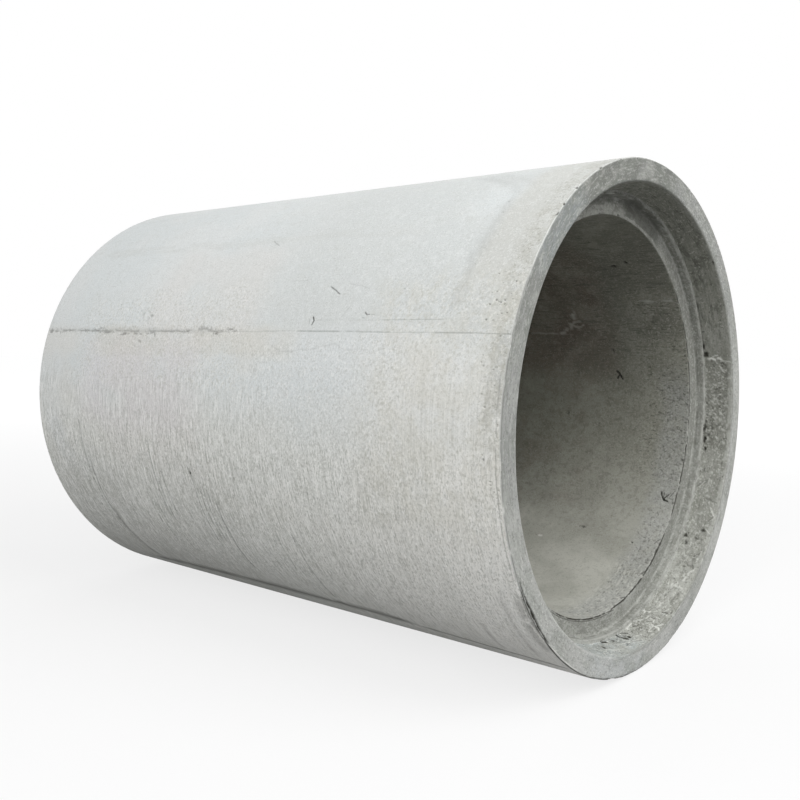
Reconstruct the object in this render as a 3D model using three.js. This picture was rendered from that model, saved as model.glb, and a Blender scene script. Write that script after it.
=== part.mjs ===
// Concrete sewer pipe with an in-wall joint: the socket is recessed into one end of a straight barrel,
// and a matching spigot stands out of the other end, so that the outside keeps one diameter all along.
//
// Millimetres, +Z up. The pipe lies on its side with its axis along X, the socket end towards +X and the
// spigot end towards -X. The origin is on the ground, under the middle of the whole length.

import * as THREE from 'three';

// Barrel
const BORE_DIAMETER = 1800;
const WALL_THICKNESS = 225;
const BARREL_LENGTH = 3120; // from the spigot's shoulder to the socket face: the length that shows outside

// Socket, from its face inwards
const SOCKET_LIP_THICKNESS = 99; // concrete left outside the mouth, at the face
const SOCKET_TAPER_DEPTH = 136; // from the face to the narrow step
const SOCKET_TAPER_DEGREES = 10; // draft of the tapered wall, so that the former draws out
const SOCKET_STEP_WIDTH = 18; // radial width of the step that stops the rubber ring
const SOCKET_SEAT_LENGTH = 43; // cylindrical seat beyond the step, as far as the inner shoulder

// Clearances of the joint, with the next pipe pushed home
const JOINT_RING_GAP = 8; // radial, all round the spigot, for the rubber ring
const JOINT_END_GAP = 15; // axial, between the spigot's tip and the inner shoulder

// Eased corners: each is a tangent arc of this radius
const OUTER_ARRIS_RADIUS = 8;
const MOUTH_ARRIS_RADIUS = 9;
const STEP_ARRIS_RADIUS = 4;
const BORE_ARRIS_RADIUS = 6;
const ROOT_FILLET_RADIUS = 7;

// Facets
const FACETS_AROUND = 120;
const FACETS_PER_ARRIS = 2;

const boreRadius = BORE_DIAMETER / 2;
const outerRadius = boreRadius + WALL_THICKNESS;
const taperSlope = Math.tan(THREE.MathUtils.degToRad(SOCKET_TAPER_DEGREES));

const mouthRadius = outerRadius - SOCKET_LIP_THICKNESS;
const throatRadius = mouthRadius - SOCKET_TAPER_DEPTH * taperSlope;
const seatRadius = throatRadius - SOCKET_STEP_WIDTH;
const socketDepth = SOCKET_TAPER_DEPTH + SOCKET_SEAT_LENGTH;

// The spigot is the socket's own profile, drawn in by the ring gap and shortened by the end gap.
const spigotLength = socketDepth - JOINT_END_GAP;
const spigotTaperLength = SOCKET_TAPER_DEPTH - JOINT_END_GAP;
const spigotRootRadius = mouthRadius - JOINT_RING_GAP;
const spigotStepRadius = spigotRootRadius - spigotTaperLength * taperSlope;
const spigotTipRadius = seatRadius - JOINT_RING_GAP;

const overallLength = BARREL_LENGTH + spigotLength;
const socketFace = overallLength / 2;
const barrelStart = socketFace - BARREL_LENGTH;
const spigotTip = barrelStart - spigotLength;

// The wall's section as a closed loop of corners: the distance from the axis, the place along it, and the
// radius that eases the corner. It runs from the spigot's shoulder along the outside to the socket, down
// through the socket's steps, back along the bore and round the spigot.
function wallSection() {
  const corner = (radius, along, ease) => ({ point: new THREE.Vector2(radius, along), ease });
  return [
    corner(outerRadius, barrelStart, OUTER_ARRIS_RADIUS),
    corner(outerRadius, socketFace, OUTER_ARRIS_RADIUS),
    corner(mouthRadius, socketFace, MOUTH_ARRIS_RADIUS),
    corner(throatRadius, socketFace - SOCKET_TAPER_DEPTH, ROOT_FILLET_RADIUS),
    corner(seatRadius, socketFace - SOCKET_TAPER_DEPTH, STEP_ARRIS_RADIUS),
    corner(seatRadius, socketFace - socketDepth, ROOT_FILLET_RADIUS),
    corner(boreRadius, socketFace - socketDepth, BORE_ARRIS_RADIUS),
    corner(boreRadius, spigotTip, BORE_ARRIS_RADIUS),
    corner(spigotTipRadius, spigotTip, MOUTH_ARRIS_RADIUS),
    corner(spigotTipRadius, barrelStart - spigotTaperLength, ROOT_FILLET_RADIUS),
    corner(spigotStepRadius, barrelStart - spigotTaperLength, STEP_ARRIS_RADIUS),
    corner(spigotRootRadius, barrelStart, ROOT_FILLET_RADIUS),
  ];
}

// Replaces a corner by the arc that touches both of its edges.
function tangentArc(before, corner, after) {
  const toBefore = before.clone().sub(corner.point).normalize();
  const toAfter = after.clone().sub(corner.point).normalize();
  const halfAngle = Math.acos(toBefore.dot(toAfter)) / 2;
  const bisector = toBefore.clone().add(toAfter).normalize();
  const centre = corner.point.clone().addScaledVector(bisector, corner.ease / Math.sin(halfAngle));
  const start = corner.point.clone().addScaledVector(toBefore, corner.ease / Math.tan(halfAngle));
  const turn = Math.sign(toAfter.cross(toBefore)) * (Math.PI - 2 * halfAngle);
  return Array.from({ length: FACETS_PER_ARRIS + 1 }, (_, step) =>
    start.clone().rotateAround(centre, (turn * step) / FACETS_PER_ARRIS));
}

function easedOutline(corners) {
  const outline = corners.flatMap((corner, index) =>
    tangentArc(corners.at(index - 1).point, corner, corners[(index + 1) % corners.length].point));
  return [...outline, outline[0].clone()];
}

// The section is turned about the lathe's Y axis. Half a facet's turn puts a facet, not an edge, under the
// pipe, and the flat of that facet is what stands on the ground.
function makePipe() {
  const facetAngle = (2 * Math.PI) / FACETS_AROUND;
  const geometry = new THREE.LatheGeometry(easedOutline(wallSection()), FACETS_AROUND, facetAngle / 2);
  const concrete = new THREE.MeshStandardMaterial({ color: 0xc6c7c4, roughness: 0.92, metalness: 0 });
  const pipe = new THREE.Mesh(geometry, concrete);
  pipe.name = 'pipe';
  pipe.rotation.z = -Math.PI / 2;
  pipe.position.z = outerRadius * Math.cos(facetAngle / 2);
  return pipe;
}

const sewerPipe = new THREE.Group();
sewerPipe.add(makePipe());

export default sewerPipe;
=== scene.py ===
"""Concrete sewer pipe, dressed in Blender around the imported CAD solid.

One skin of cast concrete stands for the solid `pipe`. It is turned from the same section, with its mesh
made finer where the surface is worn, and it carries the relief that the solid leaves out: the mould's seam,
chipped arrises, blow-holes and the torn cement inside the socket.

Sizes of the pipe are in millimetres and angles in degrees, measured round the pipe's axis from +Y towards
+Z. Everything that reaches Blender is in metres.
"""

from __future__ import annotations

import logging
import math
from dataclasses import dataclass, field
from enum import Enum
from functools import partial
from typing import Any

import bpy
import numpy as np
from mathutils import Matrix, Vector


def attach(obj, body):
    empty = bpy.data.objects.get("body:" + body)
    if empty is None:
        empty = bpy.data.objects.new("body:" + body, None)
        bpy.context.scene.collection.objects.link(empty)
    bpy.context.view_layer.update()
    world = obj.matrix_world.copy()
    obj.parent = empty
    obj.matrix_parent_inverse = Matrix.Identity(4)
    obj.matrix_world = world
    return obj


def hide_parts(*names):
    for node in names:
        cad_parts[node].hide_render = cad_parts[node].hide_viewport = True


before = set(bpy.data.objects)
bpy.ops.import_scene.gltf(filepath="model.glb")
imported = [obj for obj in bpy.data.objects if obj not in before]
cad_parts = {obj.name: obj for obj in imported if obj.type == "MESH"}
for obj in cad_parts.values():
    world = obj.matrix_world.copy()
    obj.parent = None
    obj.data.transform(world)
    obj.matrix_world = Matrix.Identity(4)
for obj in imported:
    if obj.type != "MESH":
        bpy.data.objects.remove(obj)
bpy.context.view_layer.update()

log = logging.getLogger("sewer_pipe")

METRES = 0.001  # one millimetre
FINEST_MESH = 2.6  # the finest spacing that a blemish asks for, in millimetres


# --- The section of the wall ---


class Face(Enum):
    """The straight runs of the section in order, from the barrel round through the bore and the spigot."""

    BARREL = 0
    SOCKET_END = 1
    SOCKET_WALL = 2
    SOCKET_STEP = 3
    SOCKET_SEAT = 4
    SOCKET_SHOULDER = 5
    BORE = 6
    SPIGOT_TIP = 7
    SPIGOT_SEAT = 8
    SPIGOT_STEP = 9
    SPIGOT_WALL = 10
    SPIGOT_SHOULDER = 11

    @property
    def is_radial(self) -> bool:
        """True where the run goes in or out from the axis, so that a place on it is given by a radius."""
        return self in (Face.SOCKET_END, Face.SOCKET_STEP, Face.SOCKET_SHOULDER,
                        Face.SPIGOT_TIP, Face.SPIGOT_STEP, Face.SPIGOT_SHOULDER)


@dataclass(frozen=True)
class Corner:
    """A corner of the section: distance from the axis, place along it, and the radius that eases it."""

    radius: float
    along: float
    ease: float


@dataclass(frozen=True)
class PipeSizes:
    """The pipe's driving sizes in millimetres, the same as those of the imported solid."""

    bore_diameter: float = 1800.0
    wall_thickness: float = 225.0
    barrel_length: float = 3120.0
    lip_thickness: float = 99.0
    taper_depth: float = 136.0
    taper_degrees: float = 10.0
    step_width: float = 18.0
    seat_length: float = 43.0
    ring_gap: float = 8.0
    end_gap: float = 15.0
    outer_ease: float = 8.0
    mouth_ease: float = 9.0
    step_ease: float = 4.0
    bore_ease: float = 6.0
    root_ease: float = 7.0
    solid_facets: int = 120
    skin_inset: float = 0.5  # keeps the round skin inside the faceted solid

    @property
    def bore_radius(self) -> float:
        """Inside radius."""
        return self.bore_diameter / 2

    @property
    def outer_radius(self) -> float:
        """Outside radius of the solid's edges."""
        return self.bore_radius + self.wall_thickness

    @property
    def axis_height(self) -> float:
        """Height of the axis over the ground, with a facet of the solid underneath."""
        return self.outer_radius * math.cos(math.pi / self.solid_facets)

    @property
    def socket_depth(self) -> float:
        """Depth of the socket, from its face to the inner shoulder."""
        return self.taper_depth + self.seat_length

    @property
    def spigot_length(self) -> float:
        """Length of the spigot, which leaves the end gap when it is pushed home."""
        return self.socket_depth - self.end_gap

    @property
    def socket_face(self) -> float:
        """Place of the socket's face along the axis."""
        return (self.barrel_length + self.spigot_length) / 2

    @property
    def barrel_start(self) -> float:
        """Place of the spigot's shoulder along the axis."""
        return self.socket_face - self.barrel_length

    def corners(self) -> list[Corner]:
        """The wall's section as a closed loop.

        Returns:
            Twelve corners, one before each of the runs that Face names.
        """
        slope = math.tan(math.radians(self.taper_degrees))
        outside = self.outer_radius - self.skin_inset
        mouth = self.outer_radius - self.lip_thickness
        throat = mouth - self.taper_depth * slope
        seat = throat - self.step_width
        root = mouth - self.ring_gap
        nose_length = self.taper_depth - self.end_gap
        step = root - nose_length * slope
        tip = seat - self.ring_gap
        narrow = self.socket_face - self.taper_depth
        shoulder = self.socket_face - self.socket_depth
        spigot_tip = self.barrel_start - self.spigot_length
        return [
            Corner(outside, self.barrel_start, self.outer_ease),
            Corner(outside, self.socket_face, self.outer_ease),
            Corner(mouth, self.socket_face, self.mouth_ease),
            Corner(throat, narrow, self.root_ease),
            Corner(seat, narrow, self.step_ease),
            Corner(seat, shoulder, self.root_ease),
            Corner(self.bore_radius, shoulder, self.bore_ease),
            Corner(self.bore_radius, spigot_tip, self.bore_ease),
            Corner(tip, spigot_tip, self.mouth_ease),
            Corner(tip, self.barrel_start - nose_length, self.root_ease),
            Corner(step, self.barrel_start - nose_length, self.step_ease),
            Corner(root, self.barrel_start, self.root_ease),
        ]


class Section:
    """The eased section as a path: its length in millimetres, and the surface at any distance along it."""

    ARC_SAMPLES = 17

    def __init__(self, corners: list[Corner]) -> None:
        """Joins the straight runs by tangent arcs.

        Args:
            corners: the closed loop of corners, with the concrete on the right of the way round.
        """
        arcs = [self._arc(corners[i - 1], corner, corners[(i + 1) % len(corners)])
                for i, corner in enumerate(corners)]
        points, normals, bounds = [], [], []
        for i in range(len(corners)):
            arc_points, arc_normals = arcs[(i + 1) % len(corners)]
            start_point, start_normal = arcs[i][0][-1], arc_normals[0]
            bounds.append(len(points))
            points += [start_point, *arc_points]
            normals += [start_normal, *arc_normals]
        points.append(points[0])
        normals.append(normals[0])
        self.points = np.array(points)
        self.normals = np.array(normals)
        steps = np.linalg.norm(np.diff(self.points, axis=0), axis=1)
        self.marks = np.concatenate([[0.0], np.cumsum(steps)])
        self.length = float(self.marks[-1])
        self.run_starts = [float(self.marks[i]) for i in bounds]
        self.run_ends = [float(self.marks[i + 1]) for i in bounds]
        self.arc_ends = self.run_starts[1:] + [self.length]
        self._bounds = bounds

    def _arc(self, before: Corner, corner: Corner, after: Corner) -> tuple[list, list]:
        """Draws the arc that eases one corner.

        Args:
            before, corner, after: the corner and its neighbours.

        Returns:
            The arc's points as (radius, along), and their outward normals.
        """
        here = np.array([corner.radius, corner.along])
        back = np.array([before.radius, before.along]) - here
        ahead = np.array([after.radius, after.along]) - here
        back, ahead = back / np.linalg.norm(back), ahead / np.linalg.norm(ahead)
        half = math.acos(float(back @ ahead)) / 2
        middle = (back + ahead) / np.linalg.norm(back + ahead)
        centre = here + middle * corner.ease / math.sin(half)
        first = here + back * corner.ease / math.tan(half) - centre
        convex = float(ahead[0] * back[1] - ahead[1] * back[0]) > 0
        turn = (math.pi - 2 * half) * (1 if convex else -1)
        points, normals = [], []
        for step in range(self.ARC_SAMPLES):
            angle = turn * step / (self.ARC_SAMPLES - 1)
            c, s = math.cos(angle), math.sin(angle)
            spoke = np.array([first[0] * c - first[1] * s, first[0] * s + first[1] * c])
            points.append(centre + spoke)
            normals.append(spoke / corner.ease * (1 if convex else -1))
        return points, normals

    def stations(self, longest: float, arc_step: float, guard: float) -> np.ndarray:
        """Distances along the section where rows of the mesh begin.

        Args:
            longest: the most that a row may span on a straight run.
            arc_step: what a row spans on an arc.
            guard: a narrow row kept at each end of a run, so that shading turns only at the arris.

        Returns:
            Rising distances from 0 to the whole length.
        """
        found = [0.0]
        for start, end, arc_end in zip(self.run_starts, self.run_ends, self.arc_ends):
            edge = min(guard, (end - start) / 3)
            inner = np.linspace(start + edge, end - edge, max(2, math.ceil((end - start) / longest) + 1))
            rows = max(2, round((arc_end - end) / arc_step))
            found += [*inner, end, *np.linspace(end, arc_end, rows + 1)[1:]]
        return np.array(found)

    def surface(self, s: np.ndarray) -> tuple[np.ndarray, np.ndarray]:
        """Finds the surface.

        Args:
            s: distances along the section.

        Returns:
            (radius, along) and the outward normal, in the section's plane, at each distance.
        """
        point = np.stack([np.interp(s, self.marks, self.points[:, i]) for i in (0, 1)], axis=1)
        normal = np.stack([np.interp(s, self.marks, self.normals[:, i]) for i in (0, 1)], axis=1)
        return point, normal / np.linalg.norm(normal, axis=1, keepdims=True)

    def face_of(self, s: np.ndarray) -> np.ndarray:
        """Number of the Face that each distance lies on; an arc is shared by halves."""
        middles = [(end + arc_end) / 2 for end, arc_end in zip(self.run_ends, self.arc_ends)]
        return np.searchsorted(middles, s) % len(middles)

    def place(self, face: Face, value: float) -> float:
        """Distance along the section of a place on one face.

        Args:
            face: the run that the place lies on.
            value: its radius on a radial face, and otherwise its place along the axis.

        Returns:
            The distance in millimetres, on the run or on the arc that follows it.
        """
        first = self._bounds[face.value]
        run = slice(first, first + self.ARC_SAMPLES + 1)
        values = self.points[run, 0 if face.is_radial else 1]
        order = np.argsort(values, kind="stable")
        return float(np.interp(value, values[order], self.marks[run][order]))


# --- Relief: what casting, striking the mould and handling left on the surface ---


class Grit:
    """Lattice noise from a seed, from -1 to 1, the same on every run."""

    SIZE = 4096

    def __init__(self, seed: int) -> None:
        """Draws the lattice's values."""
        self._values = np.random.default_rng(seed).uniform(-1.0, 1.0, self.SIZE)

    def __call__(self, cells: np.ndarray) -> np.ndarray:
        """Works out the noise.

        Args:
            cells: (n, 3) points, in cells of the lattice.

        Returns:
            Its value at each point.
        """
        base = np.floor(cells).astype(np.int64)
        part = cells - base
        part = part * part * (3.0 - 2.0 * part)
        total = np.zeros(len(cells))
        for corner in np.ndindex(2, 2, 2):
            spot = base + corner
            key = (spot[:, 0] * 73856093) ^ (spot[:, 1] * 19349663) ^ (spot[:, 2] * 83492791)
            total += np.prod(np.where(corner, part, 1.0 - part), axis=1) * self._values[key % self.SIZE]
        return total

    def rough(self, cells: np.ndarray, octaves: int = 3) -> np.ndarray:
        """Several scales of the noise added up, each half as coarse and half as strong as the last."""
        layers = [self(cells * 2.0**i + 17.3 * i) / 2.0**i for i in range(octaves)]
        return np.sum(layers, axis=0) / (2.0 - 0.5 ** (octaves - 1))


@dataclass
class Spots:
    """Places on the pipe's surface.

    Attributes:
        s: distance along the section, in millimetres.
        angle: degrees round the axis.
        radius: distance from the axis, in millimetres.
        point: (n, 3) places in millimetres, with the axis as X.
    """

    s: np.ndarray
    angle: np.ndarray
    radius: np.ndarray
    point: np.ndarray

    def take(self, chosen: np.ndarray) -> Spots:
        """The chosen places only."""
        return Spots(self.s[chosen], self.angle[chosen], self.radius[chosen], self.point[chosen])

    def offset(self, s: float, angle: float) -> tuple[np.ndarray, np.ndarray]:
        """Millimetres from a place, along the section and round the pipe."""
        turn = (self.angle - angle + 180.0) % 360.0 - 180.0
        return self.s - s, np.radians(turn) * self.radius


@dataclass
class Wear:
    """What a blemish does at each place: how deep it goes, and how dirty or pale it is, from 0 to 1."""

    depth: np.ndarray
    dirt: np.ndarray
    pale: np.ndarray


def fall_off(distance: np.ndarray) -> np.ndarray:
    """1 at a distance of 0 and 0 from a distance of 1 on, smooth at both ends."""
    near = np.clip(1.0 - distance, 0.0, 1.0)
    return near * near * (3.0 - 2.0 * near)


@dataclass(frozen=True)
class Hollow:
    """A chip or blow-hole: a ragged bowl.

    Attributes:
        face, place, angle: where its middle lies.
        length, width: its size along the section and round the pipe.
        depth: how far it goes in; below 0 it stands out as a crumb.
        ragged: how uneven its outline is, from 0 to 1.
        dirt, pale: how much dirt it holds, and how pale its torn cement is.
    """

    face: Face
    place: float
    angle: float
    length: float
    width: float
    depth: float
    ragged: float = 0.4
    dirt: float = 0.8
    pale: float = 0.0

    COARSEST = 6.0  # mesh spacing of the widest bowl
    FLOOR = 0.35  # share of the bowl's radius that is as deep as its middle

    def near(self, section: Section, spots: Spots, margin: np.ndarray) -> np.ndarray:
        """True for spots within the bowl or within the margin of it."""
        ds, dt = spots.offset(section.place(self.face, self.place), self.angle)
        return (np.abs(ds) < 0.65 * self.length + margin) & (np.abs(dt) < 0.65 * self.width + margin)

    def mesh_size(self) -> tuple[float, float]:
        """Mesh spacing that shows the bowl, along the section and round the pipe."""
        fine, coarse = FINEST_MESH, self.COARSEST
        return min(max(fine, self.length / 4), coarse), min(max(fine, self.width / 4), coarse)

    def wear(self, section: Section, spots: Spots, grit: Grit) -> Wear:
        """Works out the bowl.

        Args:
            section: the wall's section.
            spots: places near the bowl.
            grit: the noise that makes it ragged.

        Returns:
            Its wear at each spot.
        """
        ds, dt = spots.offset(section.place(self.face, self.place), self.angle)
        cell = 0.45 * min(self.length, self.width)
        away = np.hypot(2 * ds / self.length, 2 * dt / self.width)
        away = away * (1.0 + self.ragged * grit.rough(spots.point / cell, 2))
        bowl = fall_off(np.maximum(away - self.FLOOR, 0.0) / (1.0 - self.FLOOR))
        return Wear(self.depth * bowl, self.dirt * bowl, self.pale * bowl)


@dataclass(frozen=True)
class Line:
    """A groove, crack, flash or drawn line along a path of places on one face.

    Attributes:
        face: the face that the path lies on.
        path: (place, angle) of its points.
        width, depth: its size; a depth below 0 is a flash that stands out, and 0 is only a mark.
        dirt, pale: its tone.
        wander: how far it strays to the side, in millimetres.
        broken: how much of its length is missing, from 0 to 1.
        run: length of the sound and missing stretches.
    """

    face: Face
    path: tuple[tuple[float, float], ...]
    width: float
    depth: float
    dirt: float
    pale: float = 0.0
    wander: float = 0.0
    broken: float = 0.0
    run: float = 60.0

    DEGREE = 18.0  # millimetres in a degree, on a pipe of about this radius
    LENGTHWISE = 13.0  # the finest mesh spacing along a straight line
    STRAY_CELL = 45.0  # size of the turns that a wandering line takes
    GRAIN = 14.0  # size of the unevenness of its width
    THINNEST = 0.8  # the least half width, in millimetres

    def _nearest(self, section: Section, spots: Spots) -> tuple[np.ndarray, np.ndarray]:
        """Finds the nearest point of the path.

        Args:
            section: the wall's section.
            spots: places on the surface.

        Returns:
            Each spot's distance to the path, and how far along it the nearest point is, from 0 to 1.
        """
        best = np.full(len(spots.s), np.inf)
        share = np.zeros(len(spots.s))
        for i, (start, end) in enumerate(zip(self.path, self.path[1:])):
            ds, dt = spots.offset(section.place(self.face, start[0]), start[1])
            s_run = section.place(self.face, end[0]) - section.place(self.face, start[0])
            t_run = math.radians(end[1] - start[1]) * np.maximum(spots.radius, 1.0)
            length_squared = s_run**2 + t_run**2
            along = np.clip((ds * s_run + dt * t_run) / length_squared, 0.0, 1.0)
            away = np.hypot(ds - along * s_run, dt - along * t_run)
            closer = away < best
            best[closer] = away[closer]
            share[closer] = ((i + along) / (len(self.path) - 1))[closer]
        return best, share

    def near(self, section: Section, spots: Spots, margin: np.ndarray) -> np.ndarray:
        """True for spots within the line or within the margin of it."""
        away, _ = self._nearest(section, spots)
        return away < 0.6 * self.width + self.wander + margin

    def mesh_size(self) -> tuple[float, float]:
        """Works out the mesh spacing. A line that runs along or round the pipe needs it only across.

        Returns:
            The spacing along the section and round the pipe.
        """
        fine = max(FINEST_MESH, self.width / 3)
        coarse = max(4 * fine, self.LENGTHWISE)
        along = sum(abs(end[0] - start[0]) for start, end in zip(self.path, self.path[1:]))
        round_it = sum(abs(end[1] - start[1]) for start, end in zip(self.path, self.path[1:])) * self.DEGREE
        return (coarse if along > 8 * round_it else fine), (coarse if round_it > 8 * along else fine)

    def wear(self, section: Section, spots: Spots, grit: Grit) -> Wear:
        """Works out the groove, ridge or mark.

        Args:
            section: the wall's section.
            spots: places near the line.
            grit: the noise that makes it ragged.

        Returns:
            Its wear at each spot.
        """
        shifted = spots
        if self.wander:
            stray = self.wander * grit.rough(spots.point / self.STRAY_CELL, 3)
            shifted = Spots(spots.s + stray, spots.angle + np.degrees(stray / spots.radius),
                            spots.radius, spots.point)
        away, share = self._nearest(section, shifted)
        patchy = grit.rough(spots.point / self.run + 5.1, 2) * 0.5 + 0.5
        sound = np.clip((patchy - 0.62 * self.broken) / 0.12, 0.0, 1.0)
        taper = np.clip(np.minimum(share, 1.0 - share) * 12.0, 0.0, 1.0)
        half = 0.5 * self.width * (0.45 + 0.55 * taper)
        half = np.maximum(half * (1.0 + 0.5 * grit(spots.point / self.GRAIN)), self.THINNEST)
        groove = fall_off(away / half) * sound * taper
        return Wear(self.depth * groove, self.dirt * groove, self.pale * groove)


@dataclass(frozen=True)
class TornPatch:
    """Cement that tore as the former was drawn: small pits, drags and pale crumbs.

    Attributes:
        face, low, high: the stretch of one face that it covers.
        start, end: its angles.
        soft: width of its fading edge, in millimetres.
        grain: size of the tears.
        stretch: how much longer a tear is round the pipe than along the section.
        depth: how deep it is torn.
        holes: share of the surface in pits.
        crumbs: share of the surface in pale crumbs.
        mesh: mesh spacing.
        dirt, pale: how dark a pit is, and how pale a crumb.
    """

    face: Face
    low: float
    high: float
    start: float
    end: float
    soft: float = 30.0
    grain: float = 14.0
    stretch: float = 1.6
    depth: float = 1.6
    holes: float = 0.16
    crumbs: float = 0.14
    mesh: float = 6.5
    dirt: float = 0.5
    pale: float = 0.6

    def _cover(self, section: Section, spots: Spots, margin: float | np.ndarray = 0.0) -> np.ndarray:
        """Finds where the patch lies.

        Args:
            section: the wall's section.
            spots: places on the surface.
            margin: how much wider than the patch to look, in millimetres.

        Returns:
            How much each spot belongs to the patch, from 0 to 1.
        """
        ends = sorted((section.place(self.face, self.low), section.place(self.face, self.high)))
        middle, half = (self.start + self.end) / 2, (self.end - self.start) / 2
        _, dt = spots.offset(0.0, middle)
        reach = math.radians(half) * spots.radius
        outside = np.maximum(np.maximum(ends[0] - spots.s, spots.s - ends[1]) * 2.5, np.abs(dt) - reach)
        return fall_off(np.maximum(outside - margin, 0.0) / self.soft)

    def near(self, section: Section, spots: Spots, margin: np.ndarray) -> np.ndarray:
        """True for spots in the patch or within the margin of it."""
        return self._cover(section, spots, margin) > 0.05

    def mesh_size(self) -> tuple[float, float]:
        """Mesh spacing inside the patch."""
        return self.mesh, self.mesh

    def wear(self, section: Section, spots: Spots, grit: Grit) -> Wear:
        """Works out the torn surface.

        Args:
            section: the wall's section.
            spots: places near the patch.
            grit: the noise that makes it ragged.

        Returns:
            Its wear at each spot.
        """
        cover = self._cover(section, spots)
        cells = spots.point / (self.grain * np.array([1.0, self.stretch, self.stretch]))
        coarse = grit.rough(cells, 3)
        pits = np.clip((grit.rough(cells * 1.3 + 40.7, 2) - 0.5 + 1.6 * self.holes) * 4.0, 0.0, 1.0)
        crumbs = np.clip((grit.rough(cells * 1.7 + 81.2, 2) - 0.5 + 1.6 * self.crumbs) * 4.0, 0.0, 1.0)
        depth = self.depth * (0.5 * coarse + 1.6 * pits - 0.7 * crumbs)
        return Wear(cover * depth, cover * self.dirt * pits, cover * self.pale * crumbs * (1.0 - pits))


Blemish = Hollow | Line | TornPatch


@dataclass(frozen=True)
class Waves:
    """The slow unevenness of a cast surface, always inwards, so that the pipe keeps its size."""

    height: float = 1.1
    cell: float = 420.0

    def wear(self, spots: Spots, grit: Grit) -> np.ndarray:
        """Depth at each spot."""
        return self.height * np.clip(0.5 + 0.5 * grit.rough(spots.point / self.cell, 2), 0.0, 1.0)


@dataclass
class Relief:
    """All that is worn, torn or left by the mould, and the mesh that it needs."""

    section: Section
    blemishes: list[Blemish]
    waves: Waves = field(default_factory=Waves)
    grit: Grit = field(default_factory=lambda: Grit(20))

    REACH = 12.0  # how far off a blemish is still worked out

    def mesh_size(self, spots: Spots, half: np.ndarray) -> tuple[np.ndarray, np.ndarray]:
        """Mesh spacing wanted at each spot.

        Args:
            spots: middles of the mesh's cells.
            half: half the diagonal of each cell.

        Returns:
            The spacing along the section, and round the pipe; infinite where nothing is worn.
        """
        wanted_s = np.full(len(spots.s), math.inf)
        wanted_t = np.full(len(spots.s), math.inf)
        for blemish in self.blemishes:
            near = blemish.near(self.section, spots, half)
            fine_s, fine_t = blemish.mesh_size()
            wanted_s[near] = np.minimum(wanted_s[near], fine_s)
            wanted_t[near] = np.minimum(wanted_t[near], fine_t)
        return wanted_s, wanted_t

    def wear(self, spots: Spots) -> Wear:
        """Adds up what the blemishes and the casting do.

        Args:
            spots: places on the surface.

        Returns:
            The wear at each spot.
        """
        count = len(spots.s)
        total = Wear(self.waves.wear(spots, self.grit), np.zeros(count), np.zeros(count))
        margin = np.full(count, self.REACH)
        for blemish in self.blemishes:
            near = np.flatnonzero(blemish.near(self.section, spots, margin))
            if not len(near):
                continue
            part = blemish.wear(self.section, spots.take(near), self.grit)
            total.depth[near] += part.depth
            total.dirt[near] = np.maximum(total.dirt[near], part.dirt)
            total.pale[near] = np.maximum(total.pale[near], part.pale)
        return total


# --- The skin: a closed mesh of cells that are halved where the relief is fine ---


def turned(place: np.ndarray, angle: np.ndarray) -> np.ndarray:
    """Turns each (radius, along) about the pipe's axis.

    Args:
        place: (n, 2) radii and places along the axis.
        angle: degrees round the axis.

    Returns:
        (n, 3) points, with the axis as X.
    """
    turn = np.radians(angle)
    return np.stack([place[:, 1], place[:, 0] * np.cos(turn), place[:, 0] * np.sin(turn)], axis=1)


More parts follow.
